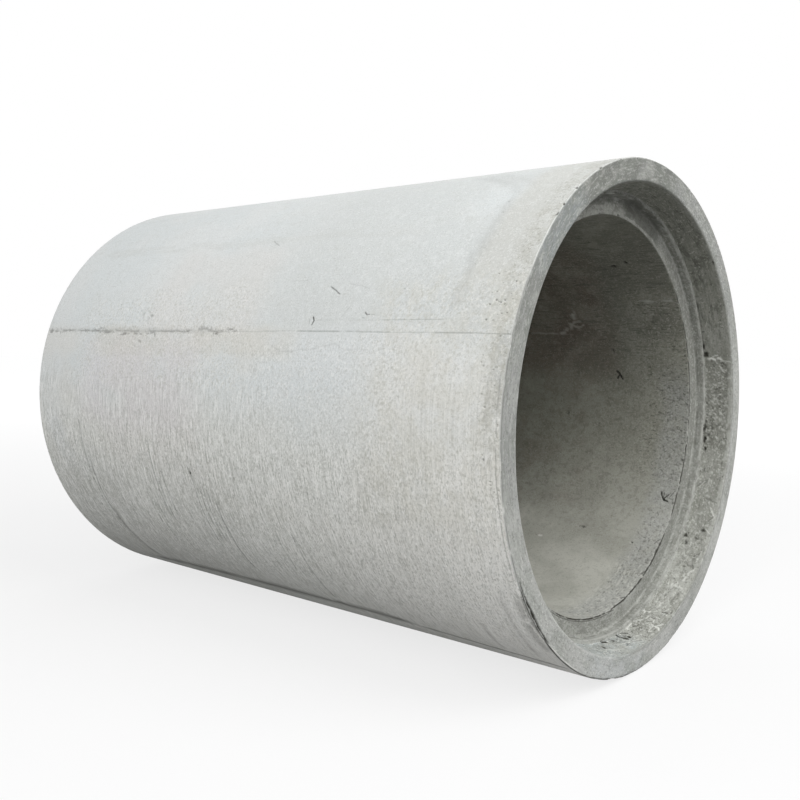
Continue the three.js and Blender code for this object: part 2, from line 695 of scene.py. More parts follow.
@dataclass
class Skin:
    """The turned surface, cut into cells along the section and round the axis.

    Attributes:
        section: the path that is turned.
        relief: what is worn into it.
        axis_height: height of the axis over the ground.
        sectors: cells round the pipe before any is halved.
        longest: the longest cell along a straight run.
        arc_step, guard: rows on an arris, and the narrow row next to it.
        splits: how often a cell may be halved each way.
    """

    section: Section
    relief: Relief
    axis_height: float
    sectors: int = 128
    longest: float = 104.0
    arc_step: float = 4.5
    guard: float = 4.0
    splits: int = 5

    SLACK = 1.3  # how many times the wanted spacing a cell may span

    def __post_init__(self) -> None:
        """Lays out the rows."""
        self.rows = self.section.stations(self.longest, self.arc_step, self.guard)
        self.unit = 2**self.splits
        self.size = ((len(self.rows) - 1) * self.unit, self.sectors * self.unit)

    def _distance(self, row: np.ndarray) -> np.ndarray:
        """Distance along the section of each row of the lattice."""
        return np.interp(row / self.unit, np.arange(len(self.rows)), self.rows)

    def spots(self, row: np.ndarray, column: np.ndarray) -> tuple[Spots, np.ndarray]:
        """Finds places of the lattice on the surface.

        Args:
            row, column: the places in the lattice.

        Returns:
            The spots, and the section's normal at each.
        """
        s = self._distance(row)
        angle = 360.0 * column / self.size[1]
        place, normal = self.section.surface(s)
        return Spots(s, angle, place[:, 0], turned(place, angle)), normal

    def cells(self) -> np.ndarray:
        """Halves cells until each is as fine as the relief wants.

        Returns:
            (n, 4) whole numbers: first and last row and first and last column of each cell in the lattice.
        """
        rows, columns = np.meshgrid(np.arange(len(self.rows) - 1), np.arange(self.sectors), indexing="ij")
        low = np.stack([rows.ravel(), columns.ravel()], axis=1) * self.unit
        open_cells = np.concatenate([low, low + self.unit], axis=1)[:, [0, 2, 1, 3]]
        done = []
        while len(open_cells):
            s0, s1, t0, t1 = open_cells.T
            spots, _ = self.spots((s0 + s1) / 2, (t0 + t1) / 2)
            long_s = self._distance(s1) - self._distance(s0)
            long_t = 2 * math.pi * (t1 - t0) / self.size[1] * spots.radius
            want_s, want_t = self.relief.mesh_size(spots, 0.5 * np.hypot(long_s, long_t))
            over_s = np.where(s1 - s0 > 1, long_s / want_s, 0.0)
            over_t = np.where(t1 - t0 > 1, long_t / want_t, 0.0)
            halve = np.maximum(over_s, over_t) > self.SLACK
            done.append(open_cells[~halve])
            by_s = halve & (over_s >= over_t)
            by_t = halve & ~by_s
            parts = []
            for chosen, first, last in ((by_s, 0, 1), (by_t, 2, 3)):
                cells = open_cells[chosen]
                middle = (cells[:, first] + cells[:, last]) // 2
                lower, upper = cells.copy(), cells.copy()
                lower[:, last] = middle
                upper[:, first] = middle
                parts += [lower, upper]
            open_cells = np.concatenate(parts)
        return np.concatenate(done)

    def polygons(self, cells: np.ndarray) -> tuple[np.ndarray, list[tuple[int, ...]], list[int]]:
        """Joins the cells without gaps.

        A cell with nothing but its four corners on its edge is one face. One that meets finer neighbours is
        a fan of triangles, about a point on its edge where no side has more than one, and else about its
        middle.

        Args:
            cells: the cells of the lattice.

        Returns:
            (n, 2) places of the vertices in the lattice, the faces, and the cell that each face comes from.
        """
        high, wide = self.size
        number = np.full((high, wide), -1, dtype=np.int32)
        corner_rows = cells[:, [0, 0, 1, 1]] % high
        corner_columns = cells[:, [2, 3, 2, 3]] % wide
        number[corner_rows, corner_columns] = 0
        places = np.argwhere(number == 0)
        number[places[:, 0], places[:, 1]] = np.arange(len(places))
        middles, faces, owners = [], [], []
        for owner, (s0, s1, t0, t1) in enumerate(cells.tolist()):
            top, right = s1 % high, t1 % wide
            sides = (number[s0, t0:t1], number[s0:s1, right], number[top, t0:t1], number[s0:s1, t0])
            corners = (number[s0, t0], number[s0, right], number[top, right], number[top, t0])
            most = max(np.count_nonzero(side >= 0) for side in sides)
            if most == 1:
                faces.append(corners)
                owners.append(owner)
                continue
            ring = [*sides[0][sides[0] >= 0], *sides[1][sides[1] >= 0], number[top, right]]
            ring += [*sides[2][sides[2] >= 0][:0:-1], number[top, t0], *sides[3][sides[3] >= 0][:0:-1]]
            hub = next((vertex for vertex in ring if vertex not in corners), None) if most == 2 else None
            if hub is None:
                hub = len(places) + len(middles)
                middles.append(((s0 + s1) / 2, (t0 + t1) / 2))
            fan = [(a, b, hub) for a, b in zip(ring, ring[1:] + ring[:1]) if hub not in (a, b)]
            faces += fan
            owners += [owner] * len(fan)
        vertices = np.concatenate([places, np.array(middles).reshape(-1, 2)]).astype(float)
        return vertices, faces, owners

    def build(self, name: str) -> bpy.types.Object:
        """Makes the mesh object, with the tones of its wear as attributes.

        Args:
            name: the object's name.

        Returns:
            The object, whose faces carry the number of their Face as material index.
        """
        cells = self.cells()
        lattice, faces, owners = self.polygons(cells)
        spots, normal = self.spots(lattice[:, 0], lattice[:, 1])
        wear = self.relief.wear(spots)
        place, _ = self.section.surface(spots.s)
        points = turned(place - normal * wear.depth[:, None], spots.angle) + (0.0, 0.0, self.axis_height)
        mesh = bpy.data.meshes.new(name)
        mesh.from_pydata((points * METRES).tolist(), [], [tuple(int(v) for v in face) for face in faces])
        middle_row = (cells[:, 0] + cells[:, 1]) / 2
        face_numbers = self.section.face_of(self.spots(middle_row, cells[:, 2])[0].s)
        mesh.polygons.foreach_set("material_index", face_numbers[owners].astype(np.int32))
        for label, values in (("dirt", wear.dirt), ("pale", wear.pale)):
            attribute = mesh.attributes.new(label, "FLOAT", "POINT")
            attribute.data.foreach_set("value", values.astype(np.float32))
        mesh.shade_smooth()
        mesh.update()
        mesh.validate()
        skin = bpy.data.objects.new(name, mesh)
        bpy.context.scene.collection.objects.link(skin)
        triangles = sum(len(face) - 2 for face in faces)
        log.info("%s: %d cells, %d vertices, %d triangles", name, len(cells), len(lattice), triangles)
        return skin


# --- The wear of this pipe ---


@dataclass(frozen=True)
class HoleField:
    """Blow-holes strewn over a stretch of one face, where air stayed against the mould.

    Attributes:
        face, low, high, start, end: the face, its stretch and its angles.
        count: how many there are.
        smallest, largest: their widths, in millimetres.
        seed: of the random draws.
        dirt: how much dirt they hold.
    """

    face: Face
    low: float
    high: float
    start: float
    end: float
    count: int
    smallest: float
    largest: float
    seed: int
    dirt: float = 0.75

    def strew(self) -> list[Hollow]:
        """Draws the holes, most of them small.

        Returns:
            The holes.
        """
        rng = np.random.default_rng(self.seed)
        holes = []
        for _ in range(self.count):
            across = self.smallest + (self.largest - self.smallest) * rng.random() ** 2
            place, angle = rng.uniform(self.low, self.high), rng.uniform(self.start, self.end)
            length = across * rng.uniform(0.8, 1.3)
            holes.append(Hollow(self.face, place, angle, length, across, 0.45 * across, 0.25, self.dirt))
        return holes


@dataclass(frozen=True)
class Scuffs:
    """Short tears where the drawn former dragged the paste: each a dark slit with a pale ridge beside it.

    Attributes:
        face, low, high, start, end: the face, its stretch and its angles.
        count, length: how many there are, and how long they are.
        lean: their angle from the pipe's axis, in degrees.
        seed: of the random draws.
        dirt, pale: the tones of the slits and of the ridges.
    """

    face: Face
    low: float
    high: float
    start: float
    end: float
    count: int
    length: float
    lean: float
    seed: int
    dirt: float = 0.9
    pale: float = 0.9

    RIDGE_STEP = 7.0  # how far the ridge stands from its slit, in millimetres
    WANDER, BROKEN, RUN = 4.0, 0.15, 18.0  # how the slits and ridges stray and break, as in Line

    def strew(self) -> list[Line]:
        """Draws the slits and ridges.

        Returns:
            Both, in pairs.
        """
        rng = np.random.default_rng(self.seed)
        lines = []
        for _ in range(self.count):
            place, angle = rng.uniform(self.low, self.high), rng.uniform(self.start, self.end)
            lean = math.radians(self.lean + rng.normal(0.0, 28.0))
            reach = 0.5 * self.length * rng.uniform(0.5, 1.3)
            run, turn = reach * math.cos(lean), reach * math.sin(lean) / Line.DEGREE
            bow = rng.uniform(-0.35, 0.35) * reach
            path = ((place - run, angle - turn), (place + 0.6 * bow, angle + bow / Line.DEGREE),
                    (place + run, angle + turn))
            beside = tuple((x + self.RIDGE_STEP, around + 0.4 * self.RIDGE_STEP / Line.DEGREE)
                           for x, around in path)
            width = rng.uniform(7.5, 11.0)
            depth, dirt = rng.uniform(2.0, 4.5), self.dirt * rng.uniform(0.4, 1.2)
            pale = self.pale * rng.uniform(0.4, 1.1)
            lines += [Line(self.face, path, width, depth, dirt, 0.0, self.WANDER, self.BROKEN, self.RUN),
                      Line(self.face, beside, width, -1.5, 0.0, pale, self.WANDER, self.BROKEN, self.RUN)]
        return lines


@dataclass
class PipeWear:
    """Lists the blemishes of this pipe, part by part. Places are along the axis, or radii on an end face."""

    sizes: PipeSizes

    MOULD_JOINT = 160  # degrees, where the mould's halves met; the other joint is opposite

    def mould_seam(self) -> list[Blemish]:
        """The joint of the mould's halves, which runs the length of the barrel, torn towards the spigot.

        Returns:
            The ridges and chips.
        """
        line, hollow = partial(Line, Face.BARREL), partial(Hollow, Face.BARREL)
        start, end, angle = self.sizes.barrel_start, self.sizes.socket_face, self.MOULD_JOINT
        lines = [
            line(((start, angle), (150, angle)), 17, 2.4, 0.42, 0, 7, 0.55, 70),
            line(((start, angle), (130, angle)), 46, 0.8, 0.12, 0, 9, 0.3, 110),
            line(((150, angle), (560, angle - 0.4)), 10, 0.8, 0.2, 0, 3, 0.5, 70),
            line(((540, angle - 0.3), (820, angle - 0.3)), 8, 1.6, 0.5, 0, 0.8, 0.05, 120),
            line(((810, angle - 0.3), (1090, angle - 0.2)), 8, 1.4, 0.38, 0, 1, 0.15, 90),
            line(((1080, angle - 0.2), (1300, angle - 0.2)), 8, 0.6, 0.22, 0, 1, 0.4, 70),
            line(((1280, angle - 0.2), (1480, angle - 0.2)), 8, 1.3, 0.42, 0, 0.8, 0.1, 90),
            line(((1470, angle - 0.2), (end, angle)), 7, 0.8, 0.3, 0, 2, 0.2),
            line(((620, 157.2), (1000, 157.2)), 7, 0.3, 0.12, 0, 1, 0.5),
            line(((990, 157.2), (1330, 157.1)), 7, 0.9, 0.28, 0, 1, 0.15, 90),
            line(((390, 162.8), (430, 163.3), (480, 164.4), (560, 164.2), (690, 163.4), (800, 162.4),
                  (850, 163.6), (950, 163.2)), 13, 0.4, 0.13, 0, 4, 0.3, 80),
        ]
        torn = [(-1440, 160.1, 70, 26, 0.6), (-1385, 160.3, 50, 14, 0.5), (-1310, 160.3, 60, 18, 0.45),
                (-1250, 160, 60, 12, 0.5), (-1080, 160, 90, 16, 0.5), (-985, 159.9, 90, 15, 0.55),
                (-938, 159.3, 56, 20, 0.3), (-880, 160.4, 110, 13, 0.62), (-722, 160.8, 70, 18, 0.6),
                (-690, 159.9, 90, 12, 0.3), (-620, 160.7, 40, 14, 0.5), (-575, 160.8, 50, 12, 0.4),
                (-515, 160.7, 40, 10, 0.4), (-480, 160.3, 60, 17, 0.6), (-380, 160, 60, 12, 0.35),
                (-300, 159.9, 90, 12, 0.35), (-200, 159.8, 60, 13, 0.45), (-110, 159.4, 60, 20, 0.45),
                (-70, 159.3, 60, 26, 0.36), (-34, 159.5, 50, 12, 0.45), (15, 160.5, 34, 14, 0.65),
                (48, 159.8, 40, 11, 0.5), (110, 159.4, 60, 14, 0.55), (150, 159.8, 40, 10, 0.4)]
        flecks = [hollow(x, turn, 26, 20, 2.5, 1, dirt) for x, turn, dirt in
                  ((-528, 155.7, 0.42), (-560, 154.6, 0.2), (-604, 155.2, 0.22), (-632, 154.4, 0.2),
                   (-546, 156.6, 0.2), (-575, 162.7, 0.3), (-602, 164, 0.15), (-330, 152.6, 0.15))]
        far = angle - 180
        lines.append(line(((start, far), (end, far)), 20, 2, 0.4, 0, 6, 0.4, 150))
        rng = np.random.default_rng(43)
        torn += [(rng.uniform(-1400, 1500), far + rng.normal(0, 0.5), rng.uniform(40, 90),
                  rng.uniform(12, 26), rng.uniform(0.4, 0.7)) for _ in range(12)]
        chips = [hollow(x, turn, long, wide, 3, 1.2, 0.85 * dirt) for x, turn, long, wide, dirt in torn]
        specks = [TornPatch(Face.BARREL, -760, -440, 151.5, 159, 70, 16, 1, 0.7, 0.1, 0.1, 13, 0.16, 0.4)]
        return [*lines, *chips, *flecks, *specks]

    def barrel_marks(self) -> list[Blemish]:
        """Scratches and small chips on the barrel.

        Returns:
            The scratches, drawn grooves, chips and holes.
        """
        line, hollow = partial(Line, Face.BARREL), partial(Hollow, Face.BARREL)
        scratches = [
            line(((664, 149), (700, 149.9), (744, 151.2)), 9, 1.4, 0.75, 0, 2, 0.1, 20),
            line(((625, 156.2), (637, 157.2), (630, 158.4)), 11, 1.6, 1.1, 0, 2),
            line(((612, 156.9), (614, 158)), 8, 1.2, 0.4),
            line(((913, 155.4), (930, 156), (946, 155.9)), 9, 1.2, 0.8),
            line(((905, 156.6), (925, 156.8)), 7, 0.8, 0.3),
            line(((950, 155.9), (975, 156.1)), 7, 0.8, 0.3),
            line(((110, 133.7), (140, 134.8), (180, 135.8)), 9, 0.8, 0.42, 0, 3, 0.2, 20),
            line(((760, 148.3), (830, 149), (905, 150)), 9, 0.4, 0.14, 0, 5, 0.3, 30),
            line(((780, 157), (830, 153.8)), 9, 0.3, 0.14, 0, 4, 0.3, 30),
            line(((400, 147.2), (520, 147.3)), 7, 0.3, 0.14, 0, 1, 0.2),
            # A broad dark band with no depth runs along the underside of the barrel, narrowing towards the
            # socket.
            line(((-1190, 237.6), (-820, 235.4), (-330, 233.8), (240, 233.3), (700, 233.2), (900, 234.6)),
                 92, 0, 0.8, 0, 12, 0.1, 140),
            line(((860, 234.4), (1250, 236.4), (1500, 237.4), (1630, 237.8)), 36, 0, 0.75, 0, 6, 0.15, 120),
            line(((960, 108), (1100, 112), (1230, 116), (1340, 120.5), (1372, 127), (1376, 138), (1366, 150),
                  (1330, 157)), 76, 0, 0.12, 0, 26, 0.35, 90),
            line(((1040, 108), (1180, 111), (1320, 116), (1420, 120)), 130, 0, 0.08, 0, 30, 0.3, 90),
        ]
        drawn = [(-1074, 186, 199, 22, 0.2), (-1040, 196, 214, 20, 0.26), (-1066, 196, 216, 14, 0.2),
                 (-1030, 212, 234, 60, 0.24), (-1120, 200, 214, 14, 0.16), (-582, 204, 216, 13, 0.24),
                 (-558, 205, 218, 13, 0.22), (-531, 206, 219, 13, 0.22), (-464, 188, 209, 14, 0.26),
                 (-441, 199, 210, 13, 0.22), (-396, 196, 210, 14, 0.22), (-157, 196, 215, 14, 0.3),
                 (-118, 200, 213, 13, 0.22), (-92, 199, 214, 14, 0.26), (-64, 200, 212, 13, 0.22),
                 (-24, 203, 223, 15, 0.34), (340, 209, 218, 13, 0.22), (452, 208, 230, 15, 0.28),
                 (1350, 224, 233, 30, 0.2), (1528, 212, 233, 44, 0.14)]
        # Each drawn groove gets a dark line, partly dirt and partly painted shade, and beside it a pale
        # raised line, a painted highlight.
        for x, start, end, width, dirt in drawn:
            beside = x + 0.8 * width
            scratches += [
                line(((x, start - 2), (x, end + 2)), width, 3.2, 1.7 * dirt, 0, 5, 0.15, 90),
                line(((beside, start), (beside, end)), width, -0.8, 0, 1.2 * dirt, 5, 0.2, 70),
            ]
        chips = [
            hollow(-170, 193.9, 14, 22, 3, 0.6, 0.6),
            hollow(-160, 195, 18, 36, 6, 0.6, 1.2),
            hollow(433, 200, 14, 34, 2.5, 0.7, 0.35),
            hollow(1567, 182.8, 14, 14, 3, 0.4, 0.5),
        ]
        holes = [hole for row in (
            (1505, 1606, 147, 157.5, 24, 4.5, 10, 31, 0.55), (1530, 1620, 159, 178, 18, 5, 12, 37, 0.35),
            (1560, 1632, 176, 212, 22, 5, 10, 32, 0.5), (1330, 1620, 112, 150, 10, 4, 8, 34, 0.4),
            (-1400, 1500, 104, 244, 18, 5, 10, 35, 0.35), (-1400, 1600, -110, 100, 10, 6, 11, 36, 0.5),
        ) for hole in HoleField(Face.BARREL, *row).strew()]
        return [*scratches, *chips, *holes]

    def rim(self) -> list[Blemish]:
        """The socket's outer arris, nicked all round and split low on one side, and its mouth arris.

        Returns:
            The split, nicks and chips.
        """
        line, hollow = partial(Line, Face.BARREL), partial(Hollow, Face.BARREL)
        edge = self.sizes.socket_face - 4
        end = Face.SOCKET_END
        split = [
            Line(end, ((1122, 206), (1120.5, 210), (1113.5, 212), (1110, 214), (1108.5, 216.3),
                  (1111.5, 218.6), (1115, 220.8), (1119, 223), (1122, 226)), 9, 7, 1.3, 0, 1.5, 0.1, 40),
            Line(end, ((1119, 211.5), (1117, 216.3), (1120, 221)), 17, 6, 0.5, 0, 3, 0.1, 16),
            Line(end, ((1112.5, 215.6), (1114, 217.6)), 12, 5, 1.2, 0, 2, 0, 16),
            line(((edge, 208.5), (edge - 3, 213), (edge - 4, 218), (edge - 1, 224)), 12, 8, 1.2, 0, 2.5,
                 0.15, 30),
            line(((edge - 8, 210.5), (edge - 13, 216), (edge - 7, 221.5)), 20, 3, 0.55, 0, 4, 0.3, 20),
            line(((edge - 22, 211), (edge - 34, 219), (edge - 22, 229)), 62, 0, 0.36, 0, 8, 0.2, 40),
            line(((edge + 1, 222), (edge, 232), (edge, 246)), 9, 4, 1.1, 0, 2, 0.2, 40),
            # Painted highlight: a pale line with no depth on the lip of the end face beside the split.
            Line(end, ((1119, 223.5), (1118, 232), (1118.5, 241)), 7, 0, 0, 1.2, 1.5, 0.25, 30),
            line(((edge, 244), (edge + 2, 264), (edge, 296)), 14, 7, 1.2, 0, 3, 0.35),
            hollow(edge - 5, 257, 20, 60, 6, 1, 0.9),
            hollow(edge - 5, 250, 14, 40, 4, 1, 0.2, 0.9),
        ]
        nicks = [hollow(edge, angle, 15, width, 5, 0.8, 1) for angle, width in
                 ((132.6, 24), (129.4, 15), (123.5, 18), (112.9, 30), (103.9, 20), (96, 26))]
        nicks += [
            # Painted highlight: a pale line with no depth along the outer arris, from the top round towards
            # -Y.
            line(((edge + 2, 96), (edge + 2, 150)), 7, 0, 0, 0.6, 1.5, 0.35, 26),
            line(((edge - 18, 166), (edge - 18, 206)), 8, 0.9, 0.42, 0, 4, 0.5, 26),
        ]
        rng = np.random.default_rng(41)
        for _ in range(24):
            width = rng.uniform(8, 30)
            nicks.append(hollow(edge + rng.uniform(-2, 3), rng.uniform(0, 360), rng.uniform(7, 12), width,
                                rng.uniform(0.8, 2.8), 0.6, 0.25, 0.3))
        mouth = [
            Hollow(Face.SOCKET_WALL, 1637, 44.6, 14, 28, 7, 0.5, 0.95),
            hollow(edge, 41.2, 12, 24, 5, 0.5, 0.6),
        ]
        for _ in range(12):
            mouth.append(Hollow(Face.SOCKET_WALL, 1637 + rng.uniform(-3, 3), rng.uniform(0, 360),
                                rng.uniform(7, 12), rng.uniform(8, 26), rng.uniform(0.6, 2), 0.6, 0.2, 0.3))
        return [*split, *nicks, *mouth]

    def socket_wall(self) -> list[Blemish]:
        """The tapered wall, torn low down by its former, whose joint left a hole and a ragged line.

        Returns:
            The torn patches, slits, pits and ridges.
        """
        face = Face.SOCKET_WALL
        line, hollow = partial(Line, face), partial(Hollow, face)
        joint = [
            hollow(1514, 15, 24, 40, 13, 0.8, 1),
            hollow(1509, 17.4, 12, 36, 7, 0.5, 0.9),
            line(((1508, 33), (1508, 15)), 6, 5, 0.7, 0, 1, 0.2, 50),
            line(((1519, 13.4), (1540, 13.9), (1560, 13.1), (1580, 13.6), (1600, 12.8)), 17, -2.6, 0, 0.9, 7,
                 0.25, 14),
            line(((1545, 14.3), (1580, 14.6)), 10, -1.5, 0, 0.7, 5, 0.3, 14),
            line(((1595, 12.9), (1640, 12.6)), 11, -1.4, 0, 0.55, 4, 0.2, 22),
            Line(Face.SOCKET_END, ((1030, 12.4), (1122, 11.6)), 9, 1.2, 0.25, 0, 3, 0.2, 30),
        ]
        torn = [
            TornPatch(face, 1508, 1634, -78, 14, 60, 13, 1.7, 1, 0.09, 0.13, 8, 0.36, 0.4),
            TornPatch(face, 1510, 1548, -12, 4, 26, 12, 1, 3, 0.2, 0.16, 6.5, 0.7, 0.6),
            TornPatch(face, 1552, 1604, -4, 12, 40, 12, 1, 2.2, 0.15, 0.16, 6.5, 0.55, 0.6),
            TornPatch(face, 1550, 1632, -66, -46, 50, 18, 2, 2.2, 0.08, 0.13, 6.5, 0.5, 0.6),
            *Scuffs(face, 1530, 1628, 251, 296, 14, 42, 60, 52, 0.85, 0.6).strew(),
            *Scuffs(face, 1525, 1628, 298, 350, 6, 40, 30, 53, 0.6, 0.4).strew(),
        ]
        eye = [
            line(((1508, 272), (1516, 271.4), (1529, 271.5), (1547, 272), (1566, 272.7)), 13, 7, 2.2),
            line(((1508, 273.4), (1523, 274.5), (1539, 275.3), (1556, 274.6)), 10, 4, 1.4, 0, 3, 0.5, 10),
            line(((1549, 270.4), (1572, 271.6)), 9, -2, 0, 1),
            line(((1507, 263.6), (1511, 263.4), (1517, 264.4), (1519, 265.4)), 15, 7, 2.4),
        ]
        strokes = [line(path, width, depth, dirt, pale, 3, 0.1, 20) for path, width, depth, dirt, pale in (
            (((1586, 260.4), (1602, 262.2), (1620, 262.4)), 11, -2, 0, 1),
            (((1592, 266.6), (1608, 269.4)), 9, -2, 0, 0.7),
            (((1513, 276.6), (1509, 280.6)), 11, -2, 0, 0.9),
            (((1508, 281.6), (1516, 283), (1536, 283.4)), 9, -2, 0, 1),
            (((1522, 279.4), (1540, 281)), 8, 3, 0.9, 0),
            (((1544, 278.4), (1563, 280.6)), 8, 3, 0.8, 0),
            (((1530, 278.4), (1552, 279.9)), 8, -2, 0, 0.8),
            (((1578, 283.5), (1604, 282.8), (1624, 285.2)), 12, -3, 0, 1.2),
            (((1604, 282.8), (1620, 283), (1636, 281.7)), 13, -3, 0, 1.3),
            (((1583, 282.4), (1598, 281.2)), 9, -2, 0, 1),
            (((1564, 286.2), (1590, 286.8)), 8, 3, 0.9, 0),
            (((1597, 285.6), (1628, 285.8)), 8, 3, 0.7, 0),
            (((1597, 288.6), (1625, 289.3)), 8, -2, 0, 0.9),
            (((1583, 289.8), (1612, 290.5)), 8, 3, 0.8, 0))]
        pits = [
            hollow(1532, 273.2, 46, 30, 4, 1.2, 0.5),
            hollow(1557, 273.7, 22, 26, 7, 0.8, 1.8),
            hollow(1549, 260.3, 24, 28, 8, 0.5, 2.2),
            hollow(1529, 267.8, 18, 20, 5, 0.5, 1.6),
            hollow(1520, 318.7, 20, 24, 7, 0.9, 0.95),
            hollow(1535, 316.4, 18, 24, 6, 0.9, 0.8),
            hollow(1592, 321.6, 30, 24, 7, 1.2, 0.9),
            hollow(1574, 318.4, 20, 14, 4, 1.2, 0.3),
            hollow(1600, 318.4, 18, 16, 4, 1.2, 0.45),
            hollow(1509, 352.2, 16, 46, 7, 0.9, 1),
            hollow(1513, 349.4, 18, 40, 8, 1, 1.1),
            hollow(1521, 346.4, 18, 36, 8, 1, 1.1),
            hollow(1528, 350.6, 16, 20, 5, 1, 0.8),
        ]
        ridges = [
            line(((1598, 329), (1636, 325.5)), 13, -2, 0, 0.66, 4, 0.2, 30),
            line(((1604, 322), (1636, 320.5)), 10, -2, 0, 0.7, 4, 0.2, 40),
            line(((1590, 303), (1600, 306), (1622, 308.6)), 16, -2.5, 0, 0.75, 8, 0.4, 16),
            line(((1560, 299), (1575, 303)), 12, -2, 0, 0.7, 8, 0.3, 20),
            line(((1520, 262), (1570, 268), (1600, 276)), 12, -1, 0, 0.6, 5, 0.2),
            line(((1560, 258), (1605, 266)), 14, -1, 0, 0.6, 5, 0.2),
            line(((1530, 252), (1590, 258)), 14, -1, 0, 0.5, 6, 0.2),
        ]
        holes = HoleField(face, 1515, 1628, -80, 12, 22, 6, 14, 51, 0.5).strew()
        return [*torn, *joint, *eye, *strokes, *pits, *ridges, *holes]

    def socket_rings(self) -> list[Blemish]:
        """The crack that follows the bore's edge, and what broke away along it.

        Returns:
            The crack and chips.
        """
        lip = self.sizes.bore_radius + 2.5
        back = self.sizes.socket_face - self.sizes.socket_depth - 11
        face = Face.SOCKET_SHOULDER
        line, hollow = partial(Line, face), partial(Hollow, face)
        return [
            line(((lip, 352), (lip, 318)), 14, 8, 1.8, 0, 6, 0.6, 22),
            line(((lip, 318), (lip, 238)), 18, 9, 2.1, 0, 7, 0.46, 22),
            *[hollow(lip + 1.5, turn, 9, width, 6, 0.9, 1.3) for turn, width in
              ((347.5, 26), (339, 18), (331.5, 30), (322, 20), (309.5, 34), (301, 22), (291.5, 30),
               (284, 24), (276.5, 30), (266, 22), (257, 30))],
            line(((lip, 350), (lip, 402)), 12, 5, 1.2, 0, 3, 0.45, 34),
            line(((914, 238), (914, 275)), 8, 3, 0.7, 0, 2.4, 0.15, 40),
            line(((lip + 1, 271), (917, 276)), 9, 3, 0.9, 0, 3, 0.2, 20),
            Line(Face.BORE, ((back - 4, 312), (back - 22, 310)), 8, 3, 0.9, 0, 3, 0.2, 20),
            Line(Face.BORE, ((back - 4, 330.5), (back - 26, 328)), 8, 3, 0.9, 0, 3, 0.2, 20),
            Hollow(Face.BORE, back - 4, 283, 22, 26, 5, 0.8, 0.8),
            Hollow(Face.BORE, back - 2, 297, 18, 30, 4, 0.8, 0.7),
            Hollow(Face.BORE, back - 4, 326, 20, 20, 4, 0.6, 0.7),
            Hollow(Face.BORE, back, 341, 22, 24, 4, 0.6, 0.8),
            hollow(906, 86, 12, 34, 5, 0.6, 0.9),
            hollow(905, 97, 9, 20, 4, 0.6, 0.7),
        ]

    def bore_marks(self) -> list[Blemish]:
        """The bore: pitted next to the socket, and marked here and there further in.

        Returns:
            The torn patches, cracks, stains and holes.
        """
        face = Face.BORE
        line, hollow = partial(Line, face), partial(Hollow, face)
        torn = [
            TornPatch(face, 1330, 1452, -98, 4, 80, 12, 1, 1, 0.11, 0.08, 8, 0.48, 0.4),
            TornPatch(face, 1350, 1445, -58, -42, 40, 12, 1, 1.4, 0.18, 0.08, 8, 0.4, 0.3),
        ]
        marks = [
            line(((1374, 329.6), (1379, 328.3), (1396, 326.7), (1426, 326.2)), 12, 7, 1.6, 0, 1.5),
            line(((1396, 327.2), (1420, 328.9)), 10, 4, 1.3, 0, 2),
            line(((1392, 327.4), (1390, 329.4)), 9, 3, 0.9, 0, 2),
            hollow(1397, 327, 22, 13, 6, 0.8, 1.4),
            line(((1046, 10.5), (1064, 9.3), (1084, 7.2)), 17, 6, 2.2, 0, 2),
            line(((1066, 9.4), (1049, 7.5)), 14, 5, 1.8),
            line(((782, 305.5), (808, 305.8)), 18, -1.5, 0, 1.3, 4),
            hollow(1012, 312.4, 34, 20, 2, 0.9, 0.7),
            line(((846, 33.4), (834, 29.2)), 56, 0, 0, 0.5, 10, 0.5, 18),
            line(((716, 23.7), (770, 25.2), (811, 26.6), (852, 29)), 32, 0, 0, 0.46, 14, 0.5, 22),
            line(((790, 28.2), (850, 26), (900, 27.2)), 26, 0, 0, 0.42, 12, 0.5, 22),
            line(((820, 28.4), (880, 28.6)), 20, 0, 0, 0.36, 10, 0.5, 20),
            line(((539, 24.1), (720, 23.8)), 15, 0, 0, 0.3, 4, 0.4, 50),
            line(((1284, 36.6), (1342, 36.5)), 34, 0, 0, 0.62, 10, 0.6, 20),
            line(((1392, 36.6), (1442, 36.8)), 32, 0, 0, 0.62, 6, 0.6, 24),
        ]
        holes = [hollow(x, angle, wide, wide * 0.8, 0.3 * wide, 0.6, dirt) for x, angle, wide, dirt in
                 ((1413, 86, 26, 1), (1192, 52.2, 34, 1.3), (1264, 53.6, 30, 1.2), (1034, 18, 26, 0.4),
                  (742, -5.6, 24, 0.5), (1150, 66, 14, 0.8))]
        strewn = HoleField(face, -1500, 1400, 0, 360, 50, 6, 15, 61, 0.6).strew()
        return [*torn, *marks, *holes, *strewn]

